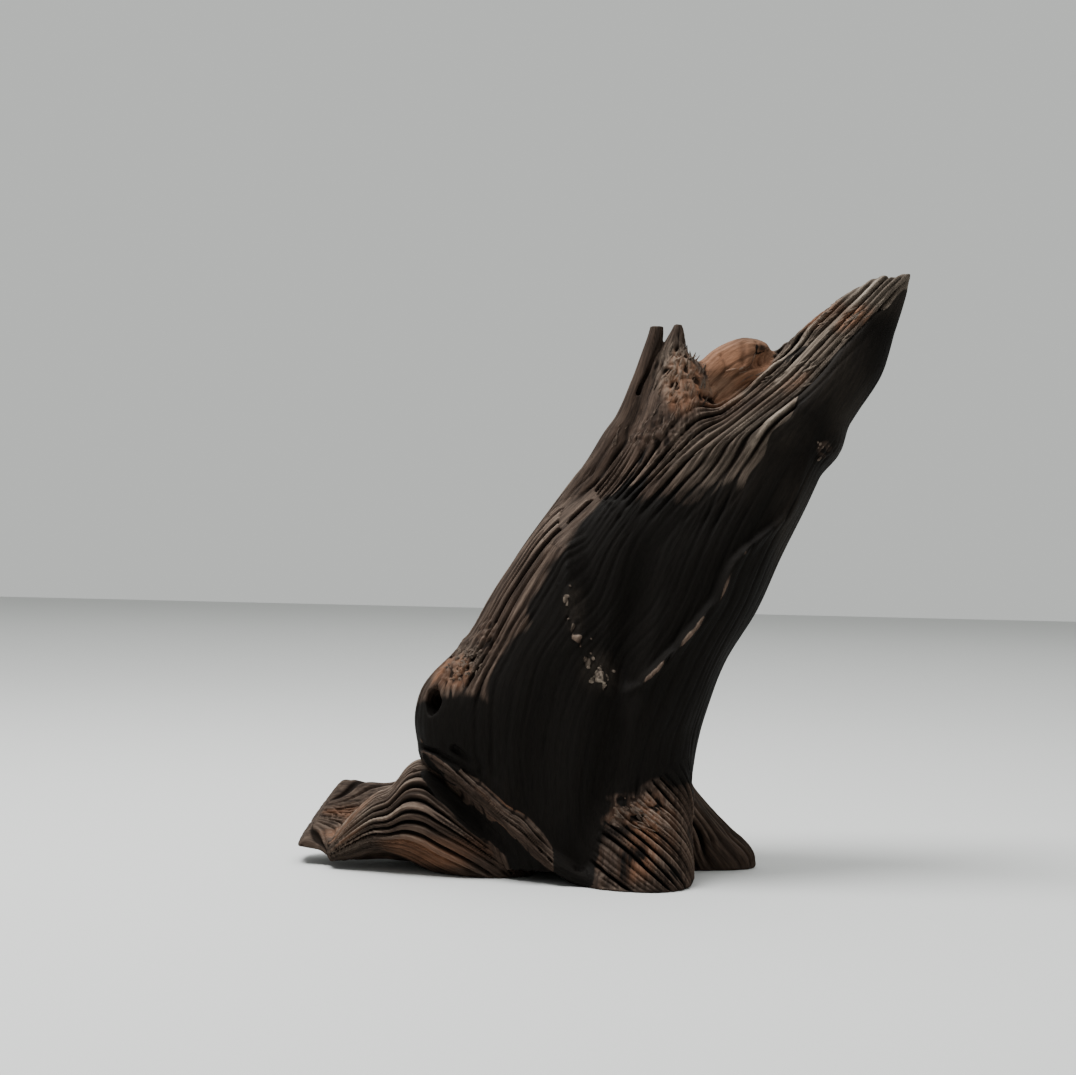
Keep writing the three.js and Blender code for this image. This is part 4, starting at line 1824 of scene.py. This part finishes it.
def wood_material(name: str, finish: Finish, groups: dict[str, bpy.types.NodeTree]) -> bpy.types.Material:
    """Makes the material of one finish.

    Args:
        name: the material's name.
        finish: its colours.
        groups: the shared effects.

    Returns:
        The material.
    """
    material = bpy.data.materials.new(name)
    material.use_nodes = True
    tree = material.node_tree
    nodes = Nodes(tree)
    shader = tree.nodes["Principled BSDF"]

    def group(key: str, **sources: object) -> bpy.types.Node:
        """Adds one of the shared node groups.

        Args:
            key: the group's name.
            **sources: what each input is joined to.

        Returns:
            The new node.
        """
        node = nodes.add("ShaderNodeGroup")
        node.node_tree = groups[key]
        for label, source in sources.items():
            nodes.join(source, node.inputs[label])
        return node

    def value(key: str) -> object:
        """Reads a value that the mesh carries at each point.

        Args:
            key: the attribute's name.

        Returns:
            The value's output.
        """
        return nodes.add("ShaderNodeAttribute", attribute_name=key).outputs["Fac"]

    def rgba(colour: Vec) -> tuple[float, ...]:
        """Adds a full alpha to a colour.

        Args:
            colour: red, green and blue.

        Returns:
            The four values.
        """
        return (*colour, 1.0)

    grain = nodes.add("ShaderNodeAttribute", attribute_name="grain").outputs["Vector"]
    place = nodes.add("ShaderNodeTexCoord").outputs["Object"]
    fine = group("fine_grain", Grain=grain)
    streak, fibre, mottle = (fine.outputs[k] for k in ("Streak", "Fibre", "Mottle"))
    wear = group("ridge_wear", Relief=value("relief"), Crack=value("crack"), Streak=streak)
    bloom = group("settled_bloom", Streak=streak).outputs["Bloom"]

    colour = nodes.mix(nodes.ease(streak, 0.32, 0.68), rgba(finish.dark), rgba(finish.light))
    patch = nodes.maths("ADD", value("warm"), nodes.maths("MULTIPLY_ADD", mottle, 1.2, -0.78))
    patch = nodes.ease(patch, 0.1, 0.8, (0.0, 0.85))
    colour = nodes.mix(patch, colour, rgba(finish.warm))
    # Worn ridge tops, paled further as a painted highlight.
    colour = nodes.mix(nodes.maths("MULTIPLY", wear.outputs["Crest"], 0.85), colour, rgba(finish.crest))
    # Bleached wood and settled dust turn pale; laid on the crests, this pale colour is also a painted
    # highlight.
    bleach_and_highlight = nodes.maths("MULTIPLY", value("bleached"), nodes.ease(streak, 0.25, 0.6, (0.35, 1.0)))
    bleach_and_highlight = nodes.maths("MAXIMUM", nodes.maths("MULTIPLY", bloom, 0.35), bleach_and_highlight)
    bleach_and_highlight = nodes.maths("MULTIPLY", bleach_and_highlight, nodes.maths("MULTIPLY_ADD", wear.outputs["Crest"], 0.7, 0.25))
    colour = nodes.mix(bleach_and_highlight, colour, rgba(finish.bloom))
    decay = nodes.maths("MULTIPLY", value("rotted"), nodes.ease(nodes.noise(place, 420.0, 3.0), 0.4, 0.62))
    colour = nodes.mix(nodes.maths("MULTIPLY", decay, 0.28), colour, rgba(srgb(66, 42, 31)))
    # Painted shade: the cracks between the ridges are darkened where shade falls in them.
    groove = nodes.maths("MULTIPLY", wear.outputs["Groove"], finish.groove)
    colour = nodes.mix(groove, colour, rgba(tuple(c * 0.25 for c in finish.dark)))
    # The near-black front: dark bog wood with painted shade over it, whose edge creeps into the cracks
    # first and spares the crests.
    edge = nodes.maths("MULTIPLY_ADD", streak, 0.7, -0.35)
    edge = nodes.maths("MULTIPLY_ADD", wear.outputs["Groove"], 0.6, edge)
    edge = nodes.maths("MULTIPLY_ADD", wear.outputs["Crest"], -0.8, edge)
    edge = nodes.maths("MULTIPLY", edge, nodes.ease(value("stain"), 0.0, 0.25))
    stain = nodes.ease(nodes.maths("MULTIPLY_ADD", value("stain"), 1.5, edge), 0.35, 0.8)
    depth = nodes.maths("MULTIPLY_ADD", value("bleached"), -0.13, 0.985)
    colour = nodes.mix(nodes.maths("MULTIPLY", stain, depth), colour, rgba(finish.stain))
    shade = nodes.ease(fibre, 0.25, 0.75, (0.74, 1.2))
    tint = nodes.add("ShaderNodeCombineXYZ")
    for socket in tint.inputs:
        nodes.join(shade, socket)
    colour = nodes.mix(1.0, colour, tint.outputs[0], "MULTIPLY")
    nodes.join(colour, shader.inputs["Base Color"])
    rough = nodes.ease(streak, 0.2, 0.8, (finish.roughness - 0.1, finish.roughness + 0.1))
    rough = nodes.maths("SUBTRACT", rough, nodes.maths("MULTIPLY", stain, 0.12))
    nodes.join(rough, shader.inputs["Roughness"])
    shader.inputs["Specular IOR Level"].default_value = 0.06
    bump = nodes.add("ShaderNodeBump")
    bump.inputs["Strength"].default_value = 0.85
    bump.inputs["Distance"].default_value = finish.bump * MM
    nodes.join(nodes.maths("MULTIPLY_ADD", fibre, 0.7, streak), bump.inputs["Height"])
    nodes.join(bump.outputs["Normal"], shader.inputs["Normal"])
    return material


@dataclass
class Piece:
    """One piece of the wood, standing for one CAD node or a part of it.

    Attributes:
        node: the CAD node it stands for.
        name: the piece's own name.
        slot: the finish it has.
        planes: planes that keep only the share of the node in front of them.
        core: a point deep inside the wood that its cut faces run to, or None for their middles.
        made: the finished object.
    """

    node: str
    name: str
    slot: Slot
    planes: list[Plane] = field(default_factory=list)
    core: Vec | None = None
    made: bpy.types.Object | None = None

    def share(self, x: Array, y: Array, z: Array) -> Array:
        """How deep points lie in the piece's share of the wood, less than 0 outside it.

        Args:
            x: left to right.
            y: front to back.
            z: up.

        Returns:
            The depth at each point.
        """
        share = membership(self.node, x, y, z)
        for plane in self.planes:
            share = np.minimum(share, slope(plane, x, y, z))
        return share

    def build(self, skin: Skin, number: int) -> None:
        """Cuts the piece out of the skin.

        Args:
            skin: the whole wood's skin.
            number: the piece's number among its quads.
        """
        points, normals, quads, triangles, traits = skin.cut_out(number, self.core)
        self.made = link(build_mesh(self.name, points, normals, quads, triangles, traits))
        log.info("%s: %d triangles", self.name, 2 * len(quads) + len(triangles))

    def dress(self, materials: dict[Slot, bpy.types.Material]) -> None:
        """Gives the piece its finish and its place on the body.

        Args:
            materials: the finish of each slot.
        """
        self.made.data.materials.append(materials[self.slot])
        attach(self.made, "root")
        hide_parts(self.node)


def template(name: str, rings: list[tuple[float, float]], sides: int, seed: int) -> bpy.types.Object:
    """A small closed, slightly crooked body about the Z axis, one unit long.

    Args:
        name: the template's name.
        rings: height and radius of each ring between its two points.
        sides: number of points in a ring.
        seed: picks how crooked it is.

    Returns:
        The object, which is only copied from.
    """
    chance = np.random.default_rng(seed)
    points, faces = [(0.0, 0.0, 0.0)], []
    for height, radius in rings:
        for i in range(sides):
            angle = 2 * math.pi * (i + chance.uniform(-0.2, 0.2)) / sides
            wide = radius * chance.uniform(0.75, 1.2)
            points.append((wide * math.cos(angle), wide * math.sin(angle), height))
    points.append((0.0, 0.0, 1.0))
    for i in range(sides):
        after = (i + 1) % sides
        faces.append((0, 1 + after, 1 + i))
        for ring in range(len(rings) - 1):
            low, high = 1 + ring * sides, 1 + (ring + 1) * sides
            faces.append((low + i, low + after, high + after, high + i))
        top = 1 + (len(rings) - 1) * sides
        faces.append((top + i, top + after, len(points) - 1))
    mesh = bpy.data.meshes.new(name)
    mesh.from_pydata(points, [], faces)
    return link(mesh)


def scatter_group() -> bpy.types.NodeTree:
    """Copies a body onto points, turned and sized by the points' own values.

    Returns:
        The filled node tree.
    """
    tree = bpy.data.node_groups.new("scatter_fragments", "GeometryNodeTree")
    for key, kind in (
        ("Geometry", "NodeSocketGeometry"), ("Body", "NodeSocketObject"), ("Size", "NodeSocketFloat"),
        ("Spread", "NodeSocketFloat"), ("Seed", "NodeSocketInt"), ("Finish", "NodeSocketMaterial"),
    ):
        tree.interface.new_socket(key, in_out="INPUT", socket_type=kind)
    tree.interface.new_socket("Geometry", in_out="OUTPUT", socket_type="NodeSocketGeometry")
    nodes = Nodes(tree)
    start, end = nodes.add("NodeGroupInput"), nodes.add("NodeGroupOutput")
    body = nodes.add("GeometryNodeObjectInfo")
    nodes.join(start.outputs["Body"], body.inputs["Object"])
    turn = nodes.add("GeometryNodeInputNamedAttribute", data_type="FLOAT_VECTOR")
    turn.inputs["Name"].default_value = "turn"
    stretch = nodes.add("GeometryNodeInputNamedAttribute", data_type="FLOAT_VECTOR")
    stretch.inputs["Name"].default_value = "stretch"
    chance = nodes.add("FunctionNodeRandomValue", data_type="FLOAT")
    nodes.join(nodes.maths("SUBTRACT", 1.0, start.outputs["Spread"]), chance.inputs[2])
    nodes.join(nodes.maths("ADD", 1.0, start.outputs["Spread"]), chance.inputs[3])
    nodes.join(start.outputs["Seed"], chance.inputs["Seed"])
    size = nodes.add("ShaderNodeVectorMath", operation="SCALE")
    nodes.join(stretch.outputs[0], size.inputs[0])
    nodes.join(nodes.maths("MULTIPLY", chance.outputs[1], start.outputs["Size"]), size.inputs["Scale"])
    copies = nodes.add("GeometryNodeInstanceOnPoints")
    nodes.join(start.outputs["Geometry"], copies.inputs["Points"])
    nodes.join(body.outputs["Geometry"], copies.inputs["Instance"])
    nodes.join(turn.outputs[0], copies.inputs["Rotation"])
    nodes.join(size.outputs[0], copies.inputs["Scale"])
    real = nodes.add("GeometryNodeRealizeInstances")
    nodes.join(copies.outputs[0], real.inputs[0])
    finish = nodes.add("GeometryNodeSetMaterial")
    nodes.join(real.outputs[0], finish.inputs["Geometry"])
    nodes.join(start.outputs["Finish"], finish.inputs["Material"])
    nodes.join(finish.outputs[0], end.inputs[0])
    return tree


@dataclass
class Fragments:
    """Many small loose bits of wood of one kind, scattered over part of the skin.

    Attributes:
        node: the CAD node that they belong to.
        name: the piece's own name.
        slot: the finish they have.
        spots: where they lie, and how thickly.
        count: how many there are.
        size: length of one, in millimetres.
        thin: width of one for each millimetre of its length.
        lift: how far they stand up from the grain, in degrees.
        way: direction of the grain, or None for bits that lie any way.
        rings: outline of one bit.
        seed: picks the pattern.
        pale: how bleached they are.
        made: the finished object.
    """

    node: str
    name: str
    slot: Slot
    spots: list[Patch]
    count: int
    size: float
    thin: float
    lift: float
    way: Vec | None
    rings: list[tuple[float, float]]
    seed: int
    pale: float = 0.2
    made: bpy.types.Object | None = None

    def build(self, skin: Skin, tree: bpy.types.NodeTree, material: bpy.types.Material) -> None:
        """Scatters the bits.

        Args:
            skin: the skin they lie on.
            tree: the scattering node group.
            material: their finish.
        """
        chance = np.random.default_rng(self.seed)
        likely = strongest(self.spots, *skin.points.T) * (1.0 - 0.97 * skin.traits["stain"])
        likely = likely * (skin.points[:, 2] > 3.0)
        chosen = chance.choice(len(likely), self.count, replace=False, p=likely / likely.sum())
        points, outward = skin.points[chosen], skin.normals[chosen]
        way = np.array(self.way) if self.way is not None else chance.normal(size=3)
        flat = unit(way) + 0.16 * chance.normal(size=(self.count, 3))
        if self.way is None:
            flat = chance.normal(size=(self.count, 3))
        flat = flat - outward * (flat * outward).sum(axis=1, keepdims=True)
        flat = flat / np.linalg.norm(flat, axis=1, keepdims=True)
        lift = np.radians(self.lift) * chance.uniform(0.3, 1.3, (self.count, 1))
        heading = flat * np.cos(lift) + outward * np.sin(lift)
        cross = np.cross(outward, heading)
        cross = cross / np.linalg.norm(cross, axis=1, keepdims=True)
        frames = np.stack([cross, np.cross(heading, cross), heading], axis=2)
        turns = [Matrix(frame.tolist()).to_euler() for frame in frames]
        sunk = points - heading * (0.4 * self.size)
        cloud = bpy.data.meshes.new(self.name + "_points")
        cloud.from_pydata(((sunk - ORIGIN) * MM).tolist(), [], [])
        for key, rows in (
            ("turn", [tuple(turn) for turn in turns]),
            ("stretch", [(self.thin, self.thin * chance.uniform(0.3, 0.6), 1.0) for _ in turns]),
        ):
            made = cloud.attributes.new(key, "FLOAT_VECTOR", "POINT")
            made.data.foreach_set("vector", np.array(rows, np.float32).ravel())
        holder, body = link(cloud), template(self.name + "_body", self.rings, 5, self.seed)
        modifier = holder.modifiers.new("scatter", "NODES")
        modifier.node_group = tree
        settings = {
            "Body": body, "Size": self.size * MM, "Spread": 0.5, "Seed": self.seed, "Finish": material,
        }
        for item in tree.interface.items_tree:
            if item.in_out == "INPUT" and item.name in settings:
                modifier[item.identifier] = settings[item.name]
        bpy.context.view_layer.update()
        seen = holder.evaluated_get(bpy.context.evaluated_depsgraph_get())
        mesh = bpy.data.meshes.new_from_object(seen)
        mesh.name = self.name
        holder.modifiers.remove(modifier)
        for spent in (holder, body):
            data = spent.data
            bpy.data.objects.remove(spent)
            bpy.data.meshes.remove(data)
        self.mark(mesh)
        self.made = link(mesh)
        log.info("%s: %d faces", self.name, len(mesh.polygons))

    def mark(self, mesh: bpy.types.Mesh) -> None:
        """Gives the bits what their finish needs to know at each point.

        Args:
            mesh: the mesh of all the bits.
        """
        for old in ("turn", "stretch"):
            if old in mesh.attributes:
                mesh.attributes.remove(mesh.attributes[old])
        places = np.empty(len(mesh.vertices) * 3, np.float32)
        mesh.vertices.foreach_get("co", places)
        made = mesh.attributes.new("grain", "FLOAT_VECTOR", "POINT")
        made.data.foreach_set("vector", places / MM)
        x, y, z = (places.reshape(-1, 3) / MM + ORIGIN).T
        for key, level in (
            ("relief", np.full_like(x, 0.4)),
            ("bleached", np.maximum(self.pale, strongest(BLEACHED, x, y, z))),
            ("warm", 0.8 * strongest(WARMED, x, y, z)),
        ):
            made = mesh.attributes.new(key, "FLOAT", "POINT")
            made.data.foreach_set("value", np.asarray(level, np.float32))

    def dress(self) -> None:
        """Gives the bits their place on the body."""
        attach(self.made, "root")
        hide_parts(self.node)


SLIVER = [(0.12, 0.45), (0.5, 0.55), (0.85, 0.25)]
CRUMB = [(0.08, 0.5), (0.5, 0.7), (0.92, 0.4)]
FRAGMENTS = [
    Fragments(
        "splinters", "prong_slivers", Slot.WEATHERED,
        [
            Patch((41.0, -10.0, 232.0), (16.0, 20.0, 34.0)),
            Patch((30.0, -14.0, 206.0), (34.0, 20.0, 14.0), 0.6),
        ],
        190, 5.0, 0.17, 9.0, (0.35, -0.1, 0.93), SLIVER, 301,
    ),
    Fragments(
        "spire", "spire_slivers", Slot.WEATHERED,
        [
            Patch((118.0, -6.0, 262.0), (34.0, 16.0, 20.0)),
            Patch((92.0, -8.0, 240.0), (34.0, 16.0, 22.0), 0.6),
        ],
        110, 6.5, 0.12, 3.0, (0.854, -0.075, 0.515), SLIVER, 302, 0.5,
    ),
    Fragments(
        "trunk", "rim_flakes", Slot.DARK,
        [
            Patch((6.0, -42.0, 94.0), (12.0, 10.0, 9.0)),
            Patch((-2.0, -42.0, 106.0), (4.0, 10.0, 12.0), 0.7),
            Patch((-10.0, -42.0, 128.0), (4.0, 12.0, 14.0), 0.6),
            Patch((-58.0, -26.0, 98.0), (14.0, 18.0, 11.0), 0.25),
            Patch((107.0, -14.0, 203.0), (7.0, 12.0, 7.0), 0.3),
        ],
        120, 1.9, 0.6, 22.0, None, CRUMB, 303, 0.35,
    ),
    Fragments(
        "centre_root", "foot_slivers", Slot.WEATHERED,
        [Patch((24.0, -52.0, 34.0), (20.0, 16.0, 11.0))],
        45, 4.8, 0.22, 8.0, (0.8, 0.0, -0.6), SLIVER, 304,
    ),
]


UP_THE_LEAN = (0.3, 0.0, 0.954)
DOWN_THE_LEAN = (-0.3, 0.0, -0.954)
LOW_CUT, HIGH_CUT = (-2.0, 0.0, 86.0), (28.0, 0.0, 152.0)
PIECES = [
    Piece("trunk", "trunk_foot", Slot.DARK, [(LOW_CUT, DOWN_THE_LEAN)], (-5.0, 0.0, 50.0)),
    Piece("trunk", "trunk_middle", Slot.DARK, [(LOW_CUT, UP_THE_LEAN), (HIGH_CUT, DOWN_THE_LEAN)]),
    Piece("trunk", "trunk_crown", Slot.DARK, [(HIGH_CUT, UP_THE_LEAN)], (58.0, 0.0, 196.0)),
    Piece("spire", "spire_wood", Slot.WEATHERED),
    Piece("splinters", "splinter_prongs", Slot.WEATHERED),
    Piece("knuckle", "heart_knuckle", Slot.HEART),
    Piece("left_root", "left_root_wood", Slot.WEATHERED),
    Piece("front_left_root", "front_left_strip", Slot.WEATHERED),
    Piece("centre_root", "centre_foot_wood", Slot.WEATHERED),
    Piece("right_root", "right_toe_wood", Slot.DARK),
    Piece("back_root", "back_root_wood", Slot.DARK),
    Piece("back_left_root", "back_left_toe", Slot.DARK),
]


def set_stage() -> None:
    """Adds the floor, the soft light and the camera at the photograph's angle."""
    mesh = bpy.data.meshes.new("floor")
    s = 6.0
    mesh.from_pydata([(-s, -s, 0), (s, -s, 0), (s, s, 0), (-s, s, 0)], [], [(0, 1, 2, 3)])
    floor = link(mesh)
    material = bpy.data.materials.new("floor_paint")
    material.use_nodes = True
    shader = material.node_tree.nodes["Principled BSDF"]
    shader.inputs["Base Color"].default_value = (0.62, 0.63, 0.62, 1.0)
    shader.inputs["Roughness"].default_value = 0.7
    mesh.materials.append(material)

    world = bpy.data.worlds.new("studio")
    bpy.context.scene.world = world
    world.use_nodes = True
    sky = Nodes(world.node_tree)
    background = world.node_tree.nodes["Background"]
    split = sky.add("ShaderNodeSeparateXYZ")
    sky.join(sky.add("ShaderNodeTexCoord").outputs["Generated"], split.inputs[0])
    behind = sky.maths("MULTIPLY_ADD", split.outputs["Z"], 0.8, split.outputs["Y"])
    behind = sky.maths("MULTIPLY_ADD", split.outputs["X"], 0.45, behind)
    sky.join(sky.ease(behind, -0.5, 0.8, (0.34, 0.9)), background.inputs["Strength"])
    background.inputs["Color"].default_value = (0.68, 0.7, 0.68, 1.0)

    def area(name: str, at: Vec, aim: Vec, size: float, power: float) -> None:
        """Adds a round soft light.

        Args:
            name: the light's name.
            at: its place, in metres.
            aim: the point that it faces.
            size: its width, in metres.
            power: its strength, in watts.
        """
        light = bpy.data.lights.new(name, "AREA")
        light.shape = "DISK"
        light.size = size
        light.energy = power
        lamp = bpy.data.objects.new(name, light)
        lamp.location = at
        lamp.rotation_mode = "QUATERNION"
        lamp.rotation_quaternion = (Vector(aim) - Vector(at)).to_track_quat("-Z", "Y")
        bpy.context.scene.collection.objects.link(lamp)

    area("overhead", at=(-0.4, -0.12, 1.2), aim=(0.0, 0.0, 0.15), size=0.6, power=22.0)
    area("ceiling", at=(0.0, 0.6, 3.2), aim=(0.0, 0.6, 0.0), size=4.5, power=90.0)

    camera = bpy.data.cameras.new("photo_camera")
    camera.sensor_width = SENSOR_WIDTH
    camera.lens = SENSOR_WIDTH * FOCAL_PIXELS / PHOTO_WIDTH_PIXELS
    camera.clip_start, camera.clip_end = 0.01, 50.0
    made = bpy.data.objects.new("photo_camera", camera)
    pitch, roll = math.radians(CAMERA_PITCH), math.radians(CAMERA_ROLL)
    forward = Vector((0.0, math.cos(pitch), math.sin(pitch)))
    up, right = Vector((0.0, -math.sin(pitch), math.cos(pitch))), Vector((1.0, 0.0, 0.0))
    turned_up = up * math.cos(roll) - right * math.sin(roll)
    turned_right = right * math.cos(roll) + up * math.sin(roll)
    matrix = Matrix((turned_right, turned_up, -forward)).transposed().to_4x4()
    place = (CAMERA_AT[0] - ORIGIN[0], CAMERA_AT[1] - ORIGIN[1], CAMERA_AT[2])
    matrix.translation = Vector(place) * MM
    made.matrix_world = matrix
    bpy.context.scene.collection.objects.link(made)
    bpy.context.scene.camera = made


def main() -> None:
    """Builds, dresses and stages the bogwood."""
    groups = {"fine_grain": grain_group(), "ridge_wear": wear_group(), "settled_bloom": dust_group()}
    materials = {slot: wood_material(slot.value, finish, groups) for slot, finish in FINISHES.items()}
    skin = Skin(PIECES)
    for number, piece in enumerate(PIECES):
        piece.build(skin, number)
        piece.dress(materials)
    scatter = scatter_group()
    for bits in FRAGMENTS:
        bits.build(skin, scatter, materials[bits.slot])
        bits.dress()
    set_stage()


if __name__ == "__main__":
    main()
